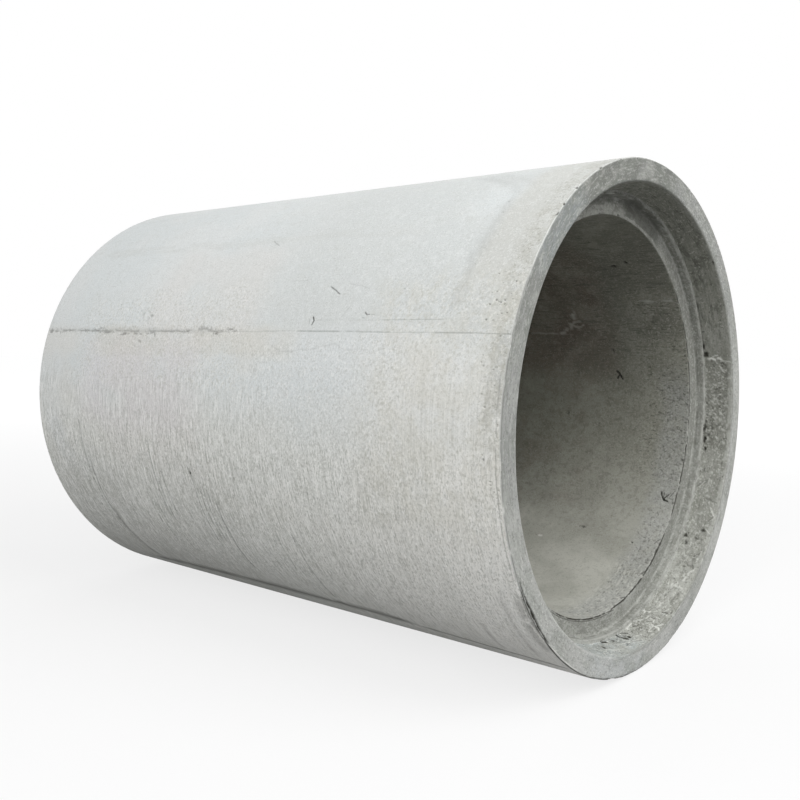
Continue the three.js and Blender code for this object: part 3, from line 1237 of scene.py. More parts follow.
    def spigot(self) -> list[Blemish]:
        """The spigot end: nicked arrises and blow-holes.

        Returns:
            The nicks, knocks and holes.
        """
        rng = np.random.default_rng(71)
        start, tip = self.sizes.barrel_start, self.sizes.barrel_start - self.sizes.spigot_length
        nicks: list[Blemish] = []
        for _ in range(16):
            nicks.append(Hollow(Face.SPIGOT_SHOULDER, 1118 + rng.uniform(-4, 4), rng.uniform(0, 360),
                                rng.uniform(5, 12), rng.uniform(8, 34), rng.uniform(1, 4), 0.6, 0.3, 0.3))
            nicks.append(Hollow(Face.SPIGOT_TIP, 971 + rng.uniform(-5, 3), rng.uniform(0, 360),
                                rng.uniform(5, 11), rng.uniform(8, 30), rng.uniform(1, 4), 0.6, 0.3, 0.3))
        holes = [
            *HoleField(Face.SPIGOT_WALL, start - 110, start - 12, 0, 360, 10, 6, 12, 72).strew(),
            *HoleField(Face.SPIGOT_SEAT, tip + 10, tip + 38, 0, 360, 6, 6, 10, 73).strew(),
            *HoleField(Face.SPIGOT_SHOULDER, 1030, 1110, 0, 360, 12, 6, 11, 74).strew(),
        ]
        knocks = [
            Hollow(Face.SPIGOT_SHOULDER, 1119, 205, 24, 90, 9, 1.2, 0.3, 0.35),
            Hollow(Face.SPIGOT_SHOULDER, 1119, 318, 18, 60, 7, 1.2, 0.3, 0.35),
            Hollow(Face.SPIGOT_TIP, 971, 128, 18, 80, 7, 1, 0.3, 0.35),
            TornPatch(Face.SPIGOT_WALL, start - 104, start - 14, 282, 322, 40, 14, 1.6, 1.2, 0.1, 0.1, 11,
                      0.4, 0.4),
        ]
        for joint in (self.MOULD_JOINT, self.MOULD_JOINT - 180):
            knocks += [
                Line(Face.SPIGOT_WALL, ((start - 12, joint), (start - 106, joint)), 9, -1.4, 0.2, 0.4, 4,
                     0.3, 30),
                Line(Face.SPIGOT_SHOULDER, ((1012, joint), (1120, joint)), 9, 1.4, 0.5, 0, 4, 0.3, 30),
            ]
        return [*nicks, *holes, *knocks]

    def all(self) -> list[Blemish]:
        """Every blemish, in one list."""
        return [*self.mould_seam(), *self.barrel_marks(), *self.rim(), *self.socket_wall(),
                *self.socket_rings(), *self.bore_marks(), *self.spigot()]


# --- Finishes ---


def linear(colour: str) -> tuple[float, float, float, float]:
    """Turns an sRGB hex colour into linear light.

    Args:
        colour: "#rrggbb".

    Returns:
        Red, green, blue and an alpha of 1.
    """
    channels = [int(colour[i : i + 2], 16) / 255 for i in (1, 3, 5)]
    red, green, blue = [c / 12.92 if c <= 0.04045 else ((c + 0.055) / 1.055) ** 2.4 for c in channels]
    return red, green, blue, 1.0


def add_node(tree: bpy.types.NodeTree, kind: str, inputs: dict[str | int, Any] | None = None,
             **settings: Any) -> bpy.types.Node:
    """Adds a node with its settings and links.

    Args:
        tree: the node tree.
        kind: the node's type, after the word ShaderNode.
        inputs: for each input, by name or number, a value or what feeds it: a socket, or a node by its first
            output.
        settings: the node's properties.

    Returns:
        The node.
    """
    node = tree.nodes.new("ShaderNode" + kind)
    for name, value in settings.items():
        setattr(node, name, value)
    for name, value in (inputs or {}).items():
        source = value.outputs[0] if isinstance(value, bpy.types.Node) else value
        if isinstance(source, bpy.types.NodeSocket):
            tree.links.new(source, node.inputs[name])
        else:
            node.inputs[name].default_value = source
    return node


# A soft-edged stretch: its low and high ends, and the width over which each end fades.
Extent = tuple[float, float, float]

# What feeds an input of a node.
Source = bpy.types.Node | bpy.types.NodeSocket | tuple | float


@dataclass(frozen=True)
class Patch:
    """Where a veil lies: stretches along the axis, round it and out from it, or some of these.

    Attributes:
        along, turn, out: the stretches, in millimetres, degrees and millimetres of radius.
        stray: how far the edges wander, in millimetres, and in tenths of a degree round the pipe.
        stray_cell: the size of that wandering.
    """

    along: Extent | None = None
    turn: Extent | None = None
    out: Extent | None = None
    stray: float = 0.0
    stray_cell: float = 260.0


@dataclass(frozen=True)
class Veil:
    """A thin coat of another tone, laid on by a noise pattern; some veils paint light and shade instead.

    Attributes:
        colour: its tone.
        amount: how strongly it covers, from 0 to 1.
        cell: size of the pattern along the section and round the pipe, in millimetres.
        low, high: the pattern's values at which it begins and is full.
        detail: finer scales added to the pattern.
        patch: where it lies; everywhere if None.
        shift: moves the pattern, so that two veils differ.
    """

    colour: str
    amount: float
    cell: tuple[float, float] = (100.0, 100.0)
    low: float = 0.45
    high: float = 0.6
    detail: float = 2.0
    patch: Patch | None = None
    shift: float = 0.0


@dataclass(frozen=True)
class Tooth:
    """A texture felt by the light: its cell along and round in millimetres, and its height."""

    cell: tuple[float, float]
    height: float
    detail: float = 2.0
    patch: Patch | None = None
    shift: float = 0.0


@dataclass(frozen=True)
class Concrete:
    """A finish of cast concrete.

    Attributes:
        name: how the surface was made.
        tone: its colour.
        veils: the coats over it, and its painted light and shade.
        teeth: its textures.
        dirt, pale: tones of what lies in hollows, and of torn cement and painted highlights.
        roughness: of the surface between its textures.
        turn_from: the angle from which degrees are counted, hidden where the pipe is seen.
        both_sides: whether the far side has the same patches as the near one, mirrored in the upright plane.
    """

    name: str
    tone: str
    veils: tuple[Veil, ...]
    teeth: tuple[Tooth, ...]
    dirt: str = "#35342d"
    pale: str = "#d3d3cd"
    roughness: float = 0.9
    turn_from: float = 0.0
    both_sides: bool = False

    IOR = 1.5  # set cement paste, a dielectric with no gloss of its own
    TOP = 90.0  # the turn about which both sides are mirrored
    NOISE_ROUGHNESS = 0.55  # how strong each finer scale of a pattern is against the last

    def _coordinates(self, tree: bpy.types.NodeTree, axis_height: float) -> dict[str, Source]:
        """Lays out what every pattern is measured in.

        Args:
            tree: the material's node tree.
            axis_height: height of the pipe's axis, in metres.

        Returns:
            "along", "turn" and "out", as Patch measures them, and "place", a vector in millimetres whose X
            grows along the section on every face.
        """
        add = partial(add_node, tree)
        split = add("SeparateXYZ", {0: add("TexCoord").outputs["Object"]})
        along = add("Math", {0: split.outputs[0], 1: METRES}, operation="DIVIDE")
        side = add("Math", {0: split.outputs[1], 1: METRES}, operation="DIVIDE")
        lift = add("Math", {0: split.outputs[2], 1: axis_height}, operation="SUBTRACT")
        rise = add("Math", {0: lift, 1: METRES}, operation="DIVIDE")
        spoke = add("CombineXYZ", {0: side, 1: rise})
        radius = add("VectorMath", {0: spoke}, operation="LENGTH").outputs["Value"]
        round_it = add("Math", {0: rise, 1: side}, operation="ARCTAN2")
        degrees = add("Math", {0: round_it}, operation="DEGREES")
        turn = add("Math", {0: degrees, 1: self.turn_from + 360.0, 2: self.turn_from}, operation="WRAP")
        if self.both_sides:
            past_top = add("Math", {0: turn, 1: self.TOP}, operation="SUBTRACT")
            from_top = add("Math", {0: past_top}, operation="ABSOLUTE")
            turn = add("Math", {0: from_top, 1: self.TOP}, operation="ADD")
        path = add("Math", {0: along, 1: radius}, operation="ADD")
        place = add("CombineXYZ", {0: path, 1: side, 2: rise})
        return {"along": along, "turn": turn, "out": radius, "place": place}

    def _noise(self, tree: bpy.types.NodeTree, place: Source, cell: tuple[float, float], detail: float,
               shift: float) -> bpy.types.Node:
        """Adds a noise pattern.

        Args:
            tree: the material's node tree.
            place: the vector that the pattern is laid on, in millimetres.
            cell: its size along the section and round the pipe.
            detail: finer scales added to it.
            shift: how far it is moved.

        Returns:
            The noise's node.
        """
        scale = (1.0 / cell[0], 1.0 / cell[1], 1.0 / cell[1])
        moved = add_node(tree, "VectorMath", {0: place, 1: scale, 2: (shift, 0.7 * shift, 1.3 * shift)},
                         operation="MULTIPLY_ADD")
        return add_node(tree, "TexNoise", {"Vector": moved, "Scale": 1.0, "Detail": detail,
                                           "Roughness": self.NOISE_ROUGHNESS})

    def _cover(self, tree: bpy.types.NodeTree, measures: dict[str, Source], patch: Patch) -> bpy.types.Node:
        """Finds how far each spot lies inside a patch.

        Args:
            tree: the material's node tree.
            measures: what _coordinates lays out.
            patch: the patch.

        Returns:
            A node that gives 0 to 1.
        """
        add = partial(add_node, tree)
        covers = []
        stretches = ((patch.along, "along", 2.0), (patch.turn, "turn", 0.2), (patch.out, "out", 2.0))
        for extent, key, scale in stretches:
            if extent is None:
                continue
            low, high, soft = extent
            where = measures[key]
            if patch.stray:
                noise = self._noise(tree, measures["place"], (patch.stray_cell,) * 2, 3.0, 3.0)
                strayed = add("Math", {0: noise, 1: patch.stray * scale, 2: where}, operation="MULTIPLY_ADD")
                where = add("Math", {0: strayed, 1: patch.stray * scale / 2}, operation="SUBTRACT")
            for edge, outside in ((low, low - soft), (high, high + soft)):
                covers.append(add("MapRange", {"Value": where, "From Min": outside, "From Max": edge},
                                  interpolation_type="SMOOTHSTEP"))
        total = covers[0]
        for cover in covers[1:]:
            total = add("Math", {0: total, 1: cover}, operation="MULTIPLY")
        return total

    def _paint(self, tree: bpy.types.NodeTree, measures: dict[str, Source]) -> Source:
        """Lays the veils over the tone, painted light and shade among them, then torn cement and painted
        highlights, and dirt, over both.

        Args:
            tree: the material's node tree.
            measures: what _coordinates lays out.

        Returns:
            The socket that gives the colour.
        """
        add = partial(add_node, tree)
        colour: Source = linear(self.tone)
        for veil in self.veils:
            noise = self._noise(tree, measures["place"], veil.cell, veil.detail, veil.shift)
            share = add("MapRange", {"Value": noise, "From Min": veil.low, "From Max": veil.high,
                                     "To Max": veil.amount}, interpolation_type="SMOOTHSTEP")
            if veil.patch:
                cover = self._cover(tree, measures, veil.patch)
                share = add("Math", {0: share, 1: cover}, operation="MULTIPLY")
            colour = add("Mix", {0: share, 6: colour, 7: linear(veil.colour)}, data_type="RGBA").outputs[2]
        for label, tone in (("pale", self.pale), ("dirt", self.dirt)):
            share = add("Attribute", attribute_name=label).outputs["Fac"]
            colour = add("Mix", {0: share, 6: colour, 7: linear(tone)}, data_type="RGBA").outputs[2]
        return colour

    def _raise_teeth(self, tree: bpy.types.NodeTree, measures: dict[str, Source]) -> Source:
        """Adds up the textures.

        Args:
            tree: the material's node tree.
            measures: what _coordinates lays out.

        Returns:
            The node that gives the height, in millimetres.
        """
        height: Source = 0.0
        for tooth in self.teeth:
            noise = self._noise(tree, measures["place"], tooth.cell, tooth.detail, tooth.shift)
            lift: Source = tooth.height
            if tooth.patch:
                cover = self._cover(tree, measures, tooth.patch)
                lift = add_node(tree, "Math", {0: cover, 1: tooth.height}, operation="MULTIPLY")
            height = add_node(tree, "Math", {0: noise, 1: lift, 2: height}, operation="MULTIPLY_ADD")
        return height

    def dress(self, axis_height: float) -> bpy.types.Material:
        """Builds the material.

        Args:
            axis_height: height of the pipe's axis, in metres.

        Returns:
            The material.
        """
        material = bpy.data.materials.new(self.name)
        material.use_nodes = True
        tree = material.node_tree
        tree.nodes.clear()
        measures = self._coordinates(tree, axis_height)
        colour = self._paint(tree, measures)
        height = self._raise_teeth(tree, measures)
        bump = add_node(tree, "Bump", {"Strength": 1.0, "Distance": METRES, "Height": height})
        shader = add_node(tree, "BsdfPrincipled", {
            "Base Color": colour, "Roughness": self.roughness, "IOR": self.IOR, "Normal": bump})
        add_node(tree, "OutputMaterial", {0: shader})
        return material


def tint(colour: str, amount: float, cell: float, high: float, patch: Patch, detail: float = 1.0) -> Veil:
    """A broad and nearly even coat over a patch, as Veil has it; many of these paint light and shade."""
    return Veil(colour, amount, (cell, cell), 0.2, high, detail, patch)


def fine_teeth(height: float) -> tuple[Tooth, ...]:
    """The sand in the cement skin. Real grains are 1 to 2 mm; drawn as 7 mm, they still show."""
    return (Tooth((7.0, 7.0), height, 2.0), Tooth((38.0, 38.0), 1.2 * height, 3.0, shift=9.0))


# Barrel, cast against a steel mould that turned: a smooth, milky cement skin above, crinkled and drawn into
# fine lines round the pipe low down, warm and pitted next to the socket.
CRINKLED = Patch(turn=(190, 218, 20), stray=60)
DRAWN = Patch((-1700, 900, 500), (194, 240, 20), stray=90)
DRAWN_NEAR = Patch((1100, 1700, 300), (200, 240, 14), stray=60)
DRAWN_FAR = Patch((-1700, 300, 400), (176, 212, 12), stray=60)
GRAINED = Patch((1080, 1700, 220), (152, 196, 9), stray=70)
GRAINED_MID = Patch((350, 1100, 260), (163, 190, 5), stray=60)
GRAINED_FAR = Patch((-1000, 100, 300), (152, 172, 6), stray=60)
RULED = Patch((1250, 1620, 140), (174, 226, 10), stray=40)
RIM_BAND = Patch(along=(1575, 1700, 60), turn=(96, 176, 12), stray=36, stray_cell=90)
BARREL = Concrete(
    name="spun_cast_concrete_barrel",
    tone="#d3d6d5",
    veils=(
        Veil("#cad1d2", 0.36, (620, 460), 0.42, 0.62, 2),
        Veil("#d3d0c9", 0.4, (520, 380), 0.46, 0.64, 2, Patch(turn=(161, 262, 4)), 21),
        tint("#d4d4cd", 0.7, 500, 0.4, Patch(turn=(186, 262, 16), stray=60)),
        # Painted shade: darker on top near the socket, and low down far from it, as the light falls.
        tint("#c4c7c5", 0.7, 700, 0.4, Patch((600, 1800, 900), (60, 155, 9), stray=60)),
        tint("#bfbfb9", 0.7, 400, 0.4, Patch((1430, 1800, 90), (60, 140, 26), stray=50)),
        tint("#b9bab5", 0.62, 700, 0.4, Patch((-1900, -250, 700), (202, 262, 16), stray=60)),
        tint("#d3cfd2", 0.5, 300, 0.5, Patch((-900, -250, 260), (168, 181, 9), stray=60)),
        tint("#c7cdcf", 0.3, 300, 0.5, Patch((640, 1000, 200), (165, 180, 9), stray=60)),
        Veil("#c8c5ba", 0.45, (260, 200), 0.3, 0.56, 2,
             Patch((-850, 400, 220), (160.4, 164.6, 3), stray=34)),
        # Painted light: paler low down towards the socket, as the light falls.
        tint("#dad9d3", 0.4, 500, 0.4, Patch((1150, 1560, 420), (170, 226, 12), stray=60)),
        tint("#dfded9", 0.56, 500, 0.4, Patch((900, 1560, 500), (206, 244, 14), stray=60)),
        tint("#e8e7e2", 0.6, 500, 0.4, Patch((1400, 1700, 130), (186, 244, 7), stray=50)),
        tint("#a9a9a3", 0.56, 90, 0.44, Patch((1582, 1700, 26), (160.6, 173, 3), stray=20), 2),
        tint("#d5d1cc", 0.36, 300, 0.5, Patch((-420, 150, 220), (140, 157, 8), stray=60)),
        tint("#cfcbc8", 0.36, 300, 0.5, Patch((-700, -150, 220), (164, 190, 8), stray=60)),
        Veil("#bfc1bd", 0.3, (300, 60), 0.4, 0.6, 2, Patch((-1250, 900, 90), (133, 134.6, 1.6), stray=8)),
        Veil("#aaa9a0", 0.54, (60, 60), 0.38, 0.62, 3, RIM_BAND, 7),
        Veil("#85857a", 0.5, (11, 11), 0.56, 0.66, 2, RIM_BAND, 11),
        Veil("#c0c2be", 0.22, (46, 42), 0.5, 0.68, 3, shift=5),
        Veil("#e4e6e5", 0.16, (30, 40), 0.5, 0.68, 3, shift=14),
        Veil("#a0a19c", 0.32, (6.5, 6.5), 0.52, 0.7, 1, shift=31),
        Veil("#f4f5f4", 0.24, (6.5, 7.5), 0.52, 0.7, 1, shift=37),
        Veil("#8b8c84", 0.48, (6.8, 15), 0.5, 0.66, 1, CRINKLED, 3),
        Veil("#f8f8f5", 0.48, (6.8, 14), 0.52, 0.66, 1, CRINKLED, 8),
        Veil("#8c8d85", 0.42, (7.5, 70), 0.52, 0.66, 2, DRAWN, 13),
        Veil("#f4f4f0", 0.44, (7.5, 80), 0.54, 0.66, 1, DRAWN, 19),
        Veil("#8a8b83", 0.2, (20, 620), 0.6, 0.7, 1, DRAWN, 17),
        Veil("#8c8d85", 0.25, (7, 60), 0.52, 0.66, 2, DRAWN_NEAR, 13),
        Veil("#f4f4f0", 0.28, (7, 70), 0.54, 0.66, 1, DRAWN_NEAR, 19),
        Veil("#92938c", 0.32, (8, 60), 0.52, 0.66, 2, DRAWN_FAR, 53),
        Veil("#f4f4f2", 0.36, (8, 60), 0.54, 0.66, 1, DRAWN_FAR, 59),
        Veil("#c6c4b9", 0.3, (90, 120), 0.36, 0.6, 3, GRAINED, 3),
        Veil("#a5a497", 0.34, (13, 15), 0.5, 0.66, 3, GRAINED, 63),
        Veil("#f2f0ea", 0.22, (12, 14), 0.52, 0.66, 2, GRAINED, 69),
        Veil("#a6a7a1", 0.34, (10, 13), 0.5, 0.66, 3, GRAINED_MID, 83),
        Veil("#f0f0ee", 0.32, (10, 13), 0.52, 0.66, 2, GRAINED_MID, 89),
        Veil("#a9a89b", 0.38, (11, 13), 0.5, 0.66, 3, GRAINED_FAR, 73),
        Veil("#efeeea", 0.34, (10, 12), 0.52, 0.66, 2, GRAINED_FAR, 79),
        Veil("#a1a29b", 0.15, (9, 600), 0.5, 0.66, 1, RULED, 23),
        Veil("#f0f0ec", 0.17, (9, 600), 0.5, 0.66, 1, RULED, 29),
        # Painted shade: the eased outer arris is darkened so that it shows no highlight, with a darker line
        # along it on the -Y side and low down.
        Veil("#a9aaa7", 0.8, (60, 90), 0.2, 0.5, 2, Patch(along=(1636.5, 1700, 3))),
        Veil("#6f706b", 0.7, (60, 90), 0.3, 0.5, 2, Patch(along=(1639, 1700, 2), turn=(150, 232, 14))),
    ),
    teeth=(
        *fine_teeth(0.5),
        Tooth((9, 24), 1.2, 1, CRINKLED, 3),
        Tooth((12, 120), 0.5, 1, DRAWN, 3),
        Tooth((13, 13), 1.2, 2, RIM_BAND, 11),
    ),
    pale="#eceeeb",
    turn_from=-90.0,
    both_sides=True,
)

# Socket's end: struck off against the mould's end ring, so mottled grey and a little drawn round it.
END_FACE = Concrete(
    name="trowelled_concrete_end",
    tone="#999a97",
    veils=(
        # Painted light and shade: the flat end is paler towards +Y and low down, and darker over the top, as
        # the light falls on it.
        tint("#c0c1bc", 0.66, 300, 0.42, Patch(turn=(-34, 8, 26), stray=40), 2),
        tint("#c2c3be", 0.5, 300, 0.42, Patch(turn=(-162, -34, 14), stray=40), 2),
        tint("#c8c9c6", 0.4, 200, 0.5, Patch(turn=(-114, -66, 12), stray=40), 2),
        tint("#686a64", 0.8, 300, 0.42, Patch(turn=(84, 120, 26), stray=40), 2),
        tint("#7c7e79", 0.62, 300, 0.42, Patch(turn=(124, 156, 8), stray=40), 2),
        Veil("#b9bfc1", 0.36, (120, 120), 0.25, 0.55, 2, Patch(turn=(-112, -92, 9), stray=60)),
        Veil("#9aa2a6", 0.32, (120, 120), 0.25, 0.55, 2, Patch(turn=(125, 142, 7), stray=60)),
        Veil("#83877f", 0.4, (90, 140), 0.46, 0.62, 3, shift=2),
        Veil("#adaea8", 0.4, (60, 90), 0.5, 0.66, 3, shift=9),
        Veil("#757670", 0.36, (11, 40), 0.5, 0.66, 2, shift=4),
        Veil("#c0c1bc", 0.36, (10, 40), 0.52, 0.68, 2, shift=6),
        Veil("#cecfca", 0.34, (9, 11), 0.56, 0.7, 2, shift=26),
        Veil("#e2e3de", 0.46, (9, 11), 0.55, 0.68, 2, Patch(turn=(-150, 10, 14), stray=30), 56),
        Veil("#60615b", 0.46, (9, 11), 0.55, 0.7, 2, shift=16),
        Veil("#63645d", 0.5, (12, 14), 0.56, 0.66, 3, Patch(turn=(-26, 66, 12), stray=30), 36),
        Veil("#dedfda", 0.5, (11, 13), 0.56, 0.66, 3, Patch(turn=(-26, 66, 12), stray=30), 46),
        # Painted highlight: the mouth's arris is paler on the -Y side.
        Veil("#cacbc7", 0.4, (40, 60), 0.4, 0.6, 2, Patch(turn=(-230, -104, 8), out=(1000, 1033.5, 4)), 5),
        Veil("#83847e", 0.6, (40, 60), 0.2, 0.4, 2, Patch(turn=(-92, 60, 10), out=(1000, 1033.5, 4)), 5),
        # Painted highlight: the outer arris is paler all round.
        Veil("#a9aaa6", 0.5, (40, 60), 0.3, 0.5, 2, Patch(out=(1119, 1200, 3)), 5),
        Veil("#666762", 0.7, (40, 60), 0.2, 0.4, 2, Patch(turn=(-230, -176, 8), out=(1119, 1200, 2.5)), 15),
    ),
    teeth=(*fine_teeth(0.35), Tooth((10, 40), 0.4, 2, shift=4)),
    pale="#d6d7d2",
    turn_from=-200.0,
)

# Socket's taper, stripped from a steel former: a film of paste, torn and rubbed where it stuck low down.
RUBBED = Patch(turn=(-112, -74, 18), stray=40)
ROUGH_SIDE = Patch(turn=(-12, 15, 4), stray=20)
DRAGGED = Patch(turn=(26, 170, 14), stray=40)
SOCKET_WALL = Concrete(
    name="stripped_concrete_socket",
    tone="#91928b",
    veils=(
        # Painted light and shade: paler low down, where light falls in through the mouth, and darker at the
        # top.
        tint("#c1c2bb", 0.5, 300, 0.42, Patch(turn=(-150, -62, 26), stray=40)),
        tint("#c0c9cb", 0.5, 200, 0.5, Patch(turn=(-135, -92, 9), stray=40)),
        tint("#616259", 0.55, 400, 0.42, Patch(turn=(46, 150, 26), stray=40)),
        Veil("#77786f", 0.4, (90, 140), 0.44, 0.62, 3),
        Veil("#aaaba3", 0.5, (20, 30), 0.5, 0.66, 3, Patch(turn=(-160, 8, 8)), 4),
        Veil("#8b8c83", 0.5, (50, 80), 0.48, 0.62, 4, DRAGGED, 44),
        Veil("#474840", 0.55, (40, 60), 0.5, 0.64, 4, DRAGGED, 54),
        Veil("#a0a197", 0.34, (9, 60), 0.54, 0.64, 2, DRAGGED, 14),
        Veil("#3a3b34", 0.36, (10, 70), 0.54, 0.64, 2, DRAGGED, 24),
        Veil("#b4b5ac", 0.6, (13, 15), 0.56, 0.68, 3, DRAGGED, 34),
        Veil("#30312b", 0.7, (14, 15), 0.62, 0.7, 3, DRAGGED, 64),
        Veil("#6a6b62", 0.5, (14, 22), 0.52, 0.68, 3, shift=8),
        Veil("#cacbc4", 0.5, (9, 12), 0.56, 0.7, 1, Patch(turn=(-112, 6, 14)), 18),
        Veil("#4f5047", 0.4, (8, 11), 0.56, 0.7, 1, shift=28),
        Veil("#e6e7e2", 0.6, (13, 22), 0.58, 0.66, 2, RUBBED, 33),
        Veil("#3e3f37", 0.6, (12, 16), 0.6, 0.68, 2, RUBBED, 43),
        Veil("#65665d", 0.3, (200, 200), 0.2, 0.4, 2, ROUGH_SIDE, 3),
        Veil("#bdbeb6", 0.5, (10, 13), 0.6, 0.68, 2, ROUGH_SIDE, 33),
        Veil("#3e3f37", 0.5, (11, 13), 0.6, 0.68, 2, ROUGH_SIDE, 43),
        # Painted highlight: paler along the mouth's arris all round.
        Veil("#a4a59e", 0.3, (60, 90), 0.3, 0.55, 1, Patch(along=(1626, 1700, 12), stray=12)),
        Veil("#7d7e77", 0.4, (60, 90), 0.2, 0.4, 1, Patch((1634, 1700, 4), (-96, -50, 8))),
        # Painted light: paler near the mouth towards +Y.
        Veil("#b4b5af", 0.46, (40, 60), 0.3, 0.56, 2,
             Patch((1624, 1700, 10), (-44, 6, 12), stray=20, stray_cell=60)),
    ),
    teeth=(*fine_teeth(0.5), Tooth((10, 14), 1.1, 2, RUBBED, 33), Tooth((10, 13), 1, 2, ROUGH_SIDE, 33)),
    pale="#dadbd5",
    turn_from=-180.0,
)

# Ledges of the socket: close to the former's corners, with a pale line of paste in each, which at the step's
# edge is also a painted highlight, and a dark line of painted shade in the corner by the shoulder.
SOCKET_RING = Concrete(
    name="formed_concrete_shoulder",
    tone="#94958f",
    veils=(
        # Painted light and shade: paler low down and darker at the top.
        tint("#b6b7b1", 0.4, 300, 0.42, Patch(turn=(-150, -52, 20), stray=40)),
        tint("#686962", 0.42, 300, 0.42, Patch(turn=(34, 150, 26), stray=40)),
        # Painted shadow: darker on the shoulder low down.
        Veil("#6f7069", 0.5, (12, 44), 0.36, 0.6, 2,
             Patch(turn=(-126, -88, 9), out=(890, 974, 8), stray=14, stray_cell=60), 9),
        Veil("#70716a", 0.4, (200, 200), 0.2, 0.4, 2, Patch(turn=(-62, 20, 12), out=(890, 978, 8), stray=14),
             9),
        Veil("#7b7c75", 0.55, (60, 90), 0.42, 0.62, 3),
        Veil("#adaea8", 0.5, (34, 20), 0.5, 0.66, 3, shift=4),
        Veil("#6b6c65", 0.5, (11, 16), 0.52, 0.68, 2, shift=8),
        Veil("#bfc0ba", 0.5, (9, 12), 0.54, 0.7, 1, shift=18),
        # The pale line at the step's edge is paste, and also a painted highlight.
        Veil("#c2c3bd", 0.5, (30, 60), 0.35, 0.6, 2, Patch(along=(1498, 1503, 5), stray=2), 3),
        Veil("#c0c1bb", 0.45, (30, 60), 0.35, 0.6, 2,
             Patch(along=(1400, 1464, 1), out=(972, 979, 6), stray=2), 7),
        # Painted shade: a dark line in the corner by the shoulder.
        Veil("#5f6059", 0.45, (40, 90), 0.4, 0.6, 2, Patch(along=(1467, 1474, 5), stray=2), 5),
        Veil("#bebfb8", 0.34, (26, 52), 0.41, 0.55, 4,
             Patch(turn=(72, 110, 10), out=(900, 944, 12), stray=16, stray_cell=60), 5),
        Veil("#45463f", 0.62, (60, 110), 0.3, 0.5, 3,
             Patch(turn=(63, 80, 5), out=(918, 985, 6), stray=14, stray_cell=60), 15),
        Veil("#4c4d46", 0.5, (40, 60), 0.36, 0.52, 3,
             Patch(turn=(80, 112, 6), out=(946, 990, 8), stray=18, stray_cell=50), 25),
    ),
    teeth=(*fine_teeth(0.4), Tooth((12, 14), 0.8, 2, shift=8)),
    turn_from=-180.0,
)

# Bore, formed by a drawn core: mottled and pitted next to the socket, with painted light low down and
# painted shade over the crown.
BORE_SIDE = Patch((1000, 1400, 140), (-16, 56, 14), stray=80)
BORE_RIGHT = Patch((1250, 1470, 110), (-20, 34, 12), stray=40)
BORE_END = Patch(along=(1365, 1470, 100), turn=(-98, 2, 16), stray=50, stray_cell=120)
BORE = Concrete(
    name="drawn_concrete_bore",
    tone="#96968b",
    veils=(
        # Painted light and shade: pale low down, where light falls in through the socket, and dark over the
        # crown.
        tint("#c3c3ba", 0.8, 500, 0.42, Patch(turn=(-150, -52, 38), stray=60)),
        tint("#64645d", 0.75, 500, 0.42, Patch(turn=(30, 150, 36), stray=60)),
        Veil("#63483f", 0.42, (400, 300), 0.2, 0.36, 1, Patch((480, 980, 160), (14, 60, 10), stray=80)),
        Veil("#80776c", 0.4, (200, 200), 0.4, 0.6, 1, Patch((500, 860, 120), (-34, 6, 12), stray=120), 6),
        Veil("#7a7a6f", 0.34, (260, 260), 0.42, 0.62, 3, shift=2),
        Veil("#ababa1", 0.3, (180, 180), 0.46, 0.64, 4, shift=12),
        # Painted light: a pool of light on the invert, where it falls in through the socket.
        Veil("#c8c8bf", 0.18, (400, 300), 0.2, 0.42, 1, Patch((1000, 1390, 160), (-98, -62, 10), stray=60)),
        Veil("#85857b", 0.26, (400, 300), 0.2, 0.42, 1, Patch((950, 1300, 140), (-54, -34, 8), stray=60)),
        Veil("#6c6c62", 0.15, (34, 30), 0.5, 0.66, 3, shift=4),
        Veil("#6c6c62", 0.24, (34, 30), 0.5, 0.66, 3, Patch(turn=(-30, 200, 24), stray=60), 4),
        Veil("#b6b6ad", 0.16, (30, 28), 0.52, 0.68, 3, shift=8),
        Veil("#5e5e55", 0.3, (8, 8), 0.54, 0.7, 2, shift=22),
        Veil("#5e5e55", 0.3, (11, 11), 0.54, 0.7, 2, Patch(turn=(-24, 170, 24), stray=60), 22),
        Veil("#c4c4bb", 0.3, (8, 8), 0.54, 0.7, 2, shift=42),
        Veil("#4a4b43", 0.26, (14, 13), 0.54, 0.66, 3, BORE_SIDE, 32),
        Veil("#b9b9af", 0.24, (13, 13), 0.56, 0.68, 2, BORE_SIDE, 36),
        tint("#a4a6a5", 0.42, 120, 0.5, BORE_END, 2),
        Veil("#4c4d46", 0.4, (9, 11), 0.56, 0.68, 2, BORE_END, 14),
        Veil("#c9cac5", 0.45, (10, 12), 0.56, 0.68, 2, BORE_END, 54),
        Veil("#45463e", 0.46, (80, 11), 0.55, 0.66, 3, Patch(turn=(24, 130, 18), stray=40), 61),
        Veil("#8e8e83", 0.44, (50, 10), 0.57, 0.68, 3, Patch(turn=(20, 130, 18), stray=40), 67),
        Veil("#3f4038", 0.56, (20, 11), 0.56, 0.66, 3, BORE_RIGHT, 91),
        Veil("#b4b4aa", 0.5, (16, 11), 0.56, 0.66, 3, BORE_RIGHT, 97),
        Veil("#dadad2", 0.4, (12, 40), 0.5, 0.64, 3, Patch((1320, 1470, 80), (-125, -64, 12), stray=30), 24),
    ),
    teeth=(*fine_teeth(0.35), Tooth((12, 13), 0.9, 2, BORE_END, 14)),
    turn_from=-180.0,
)

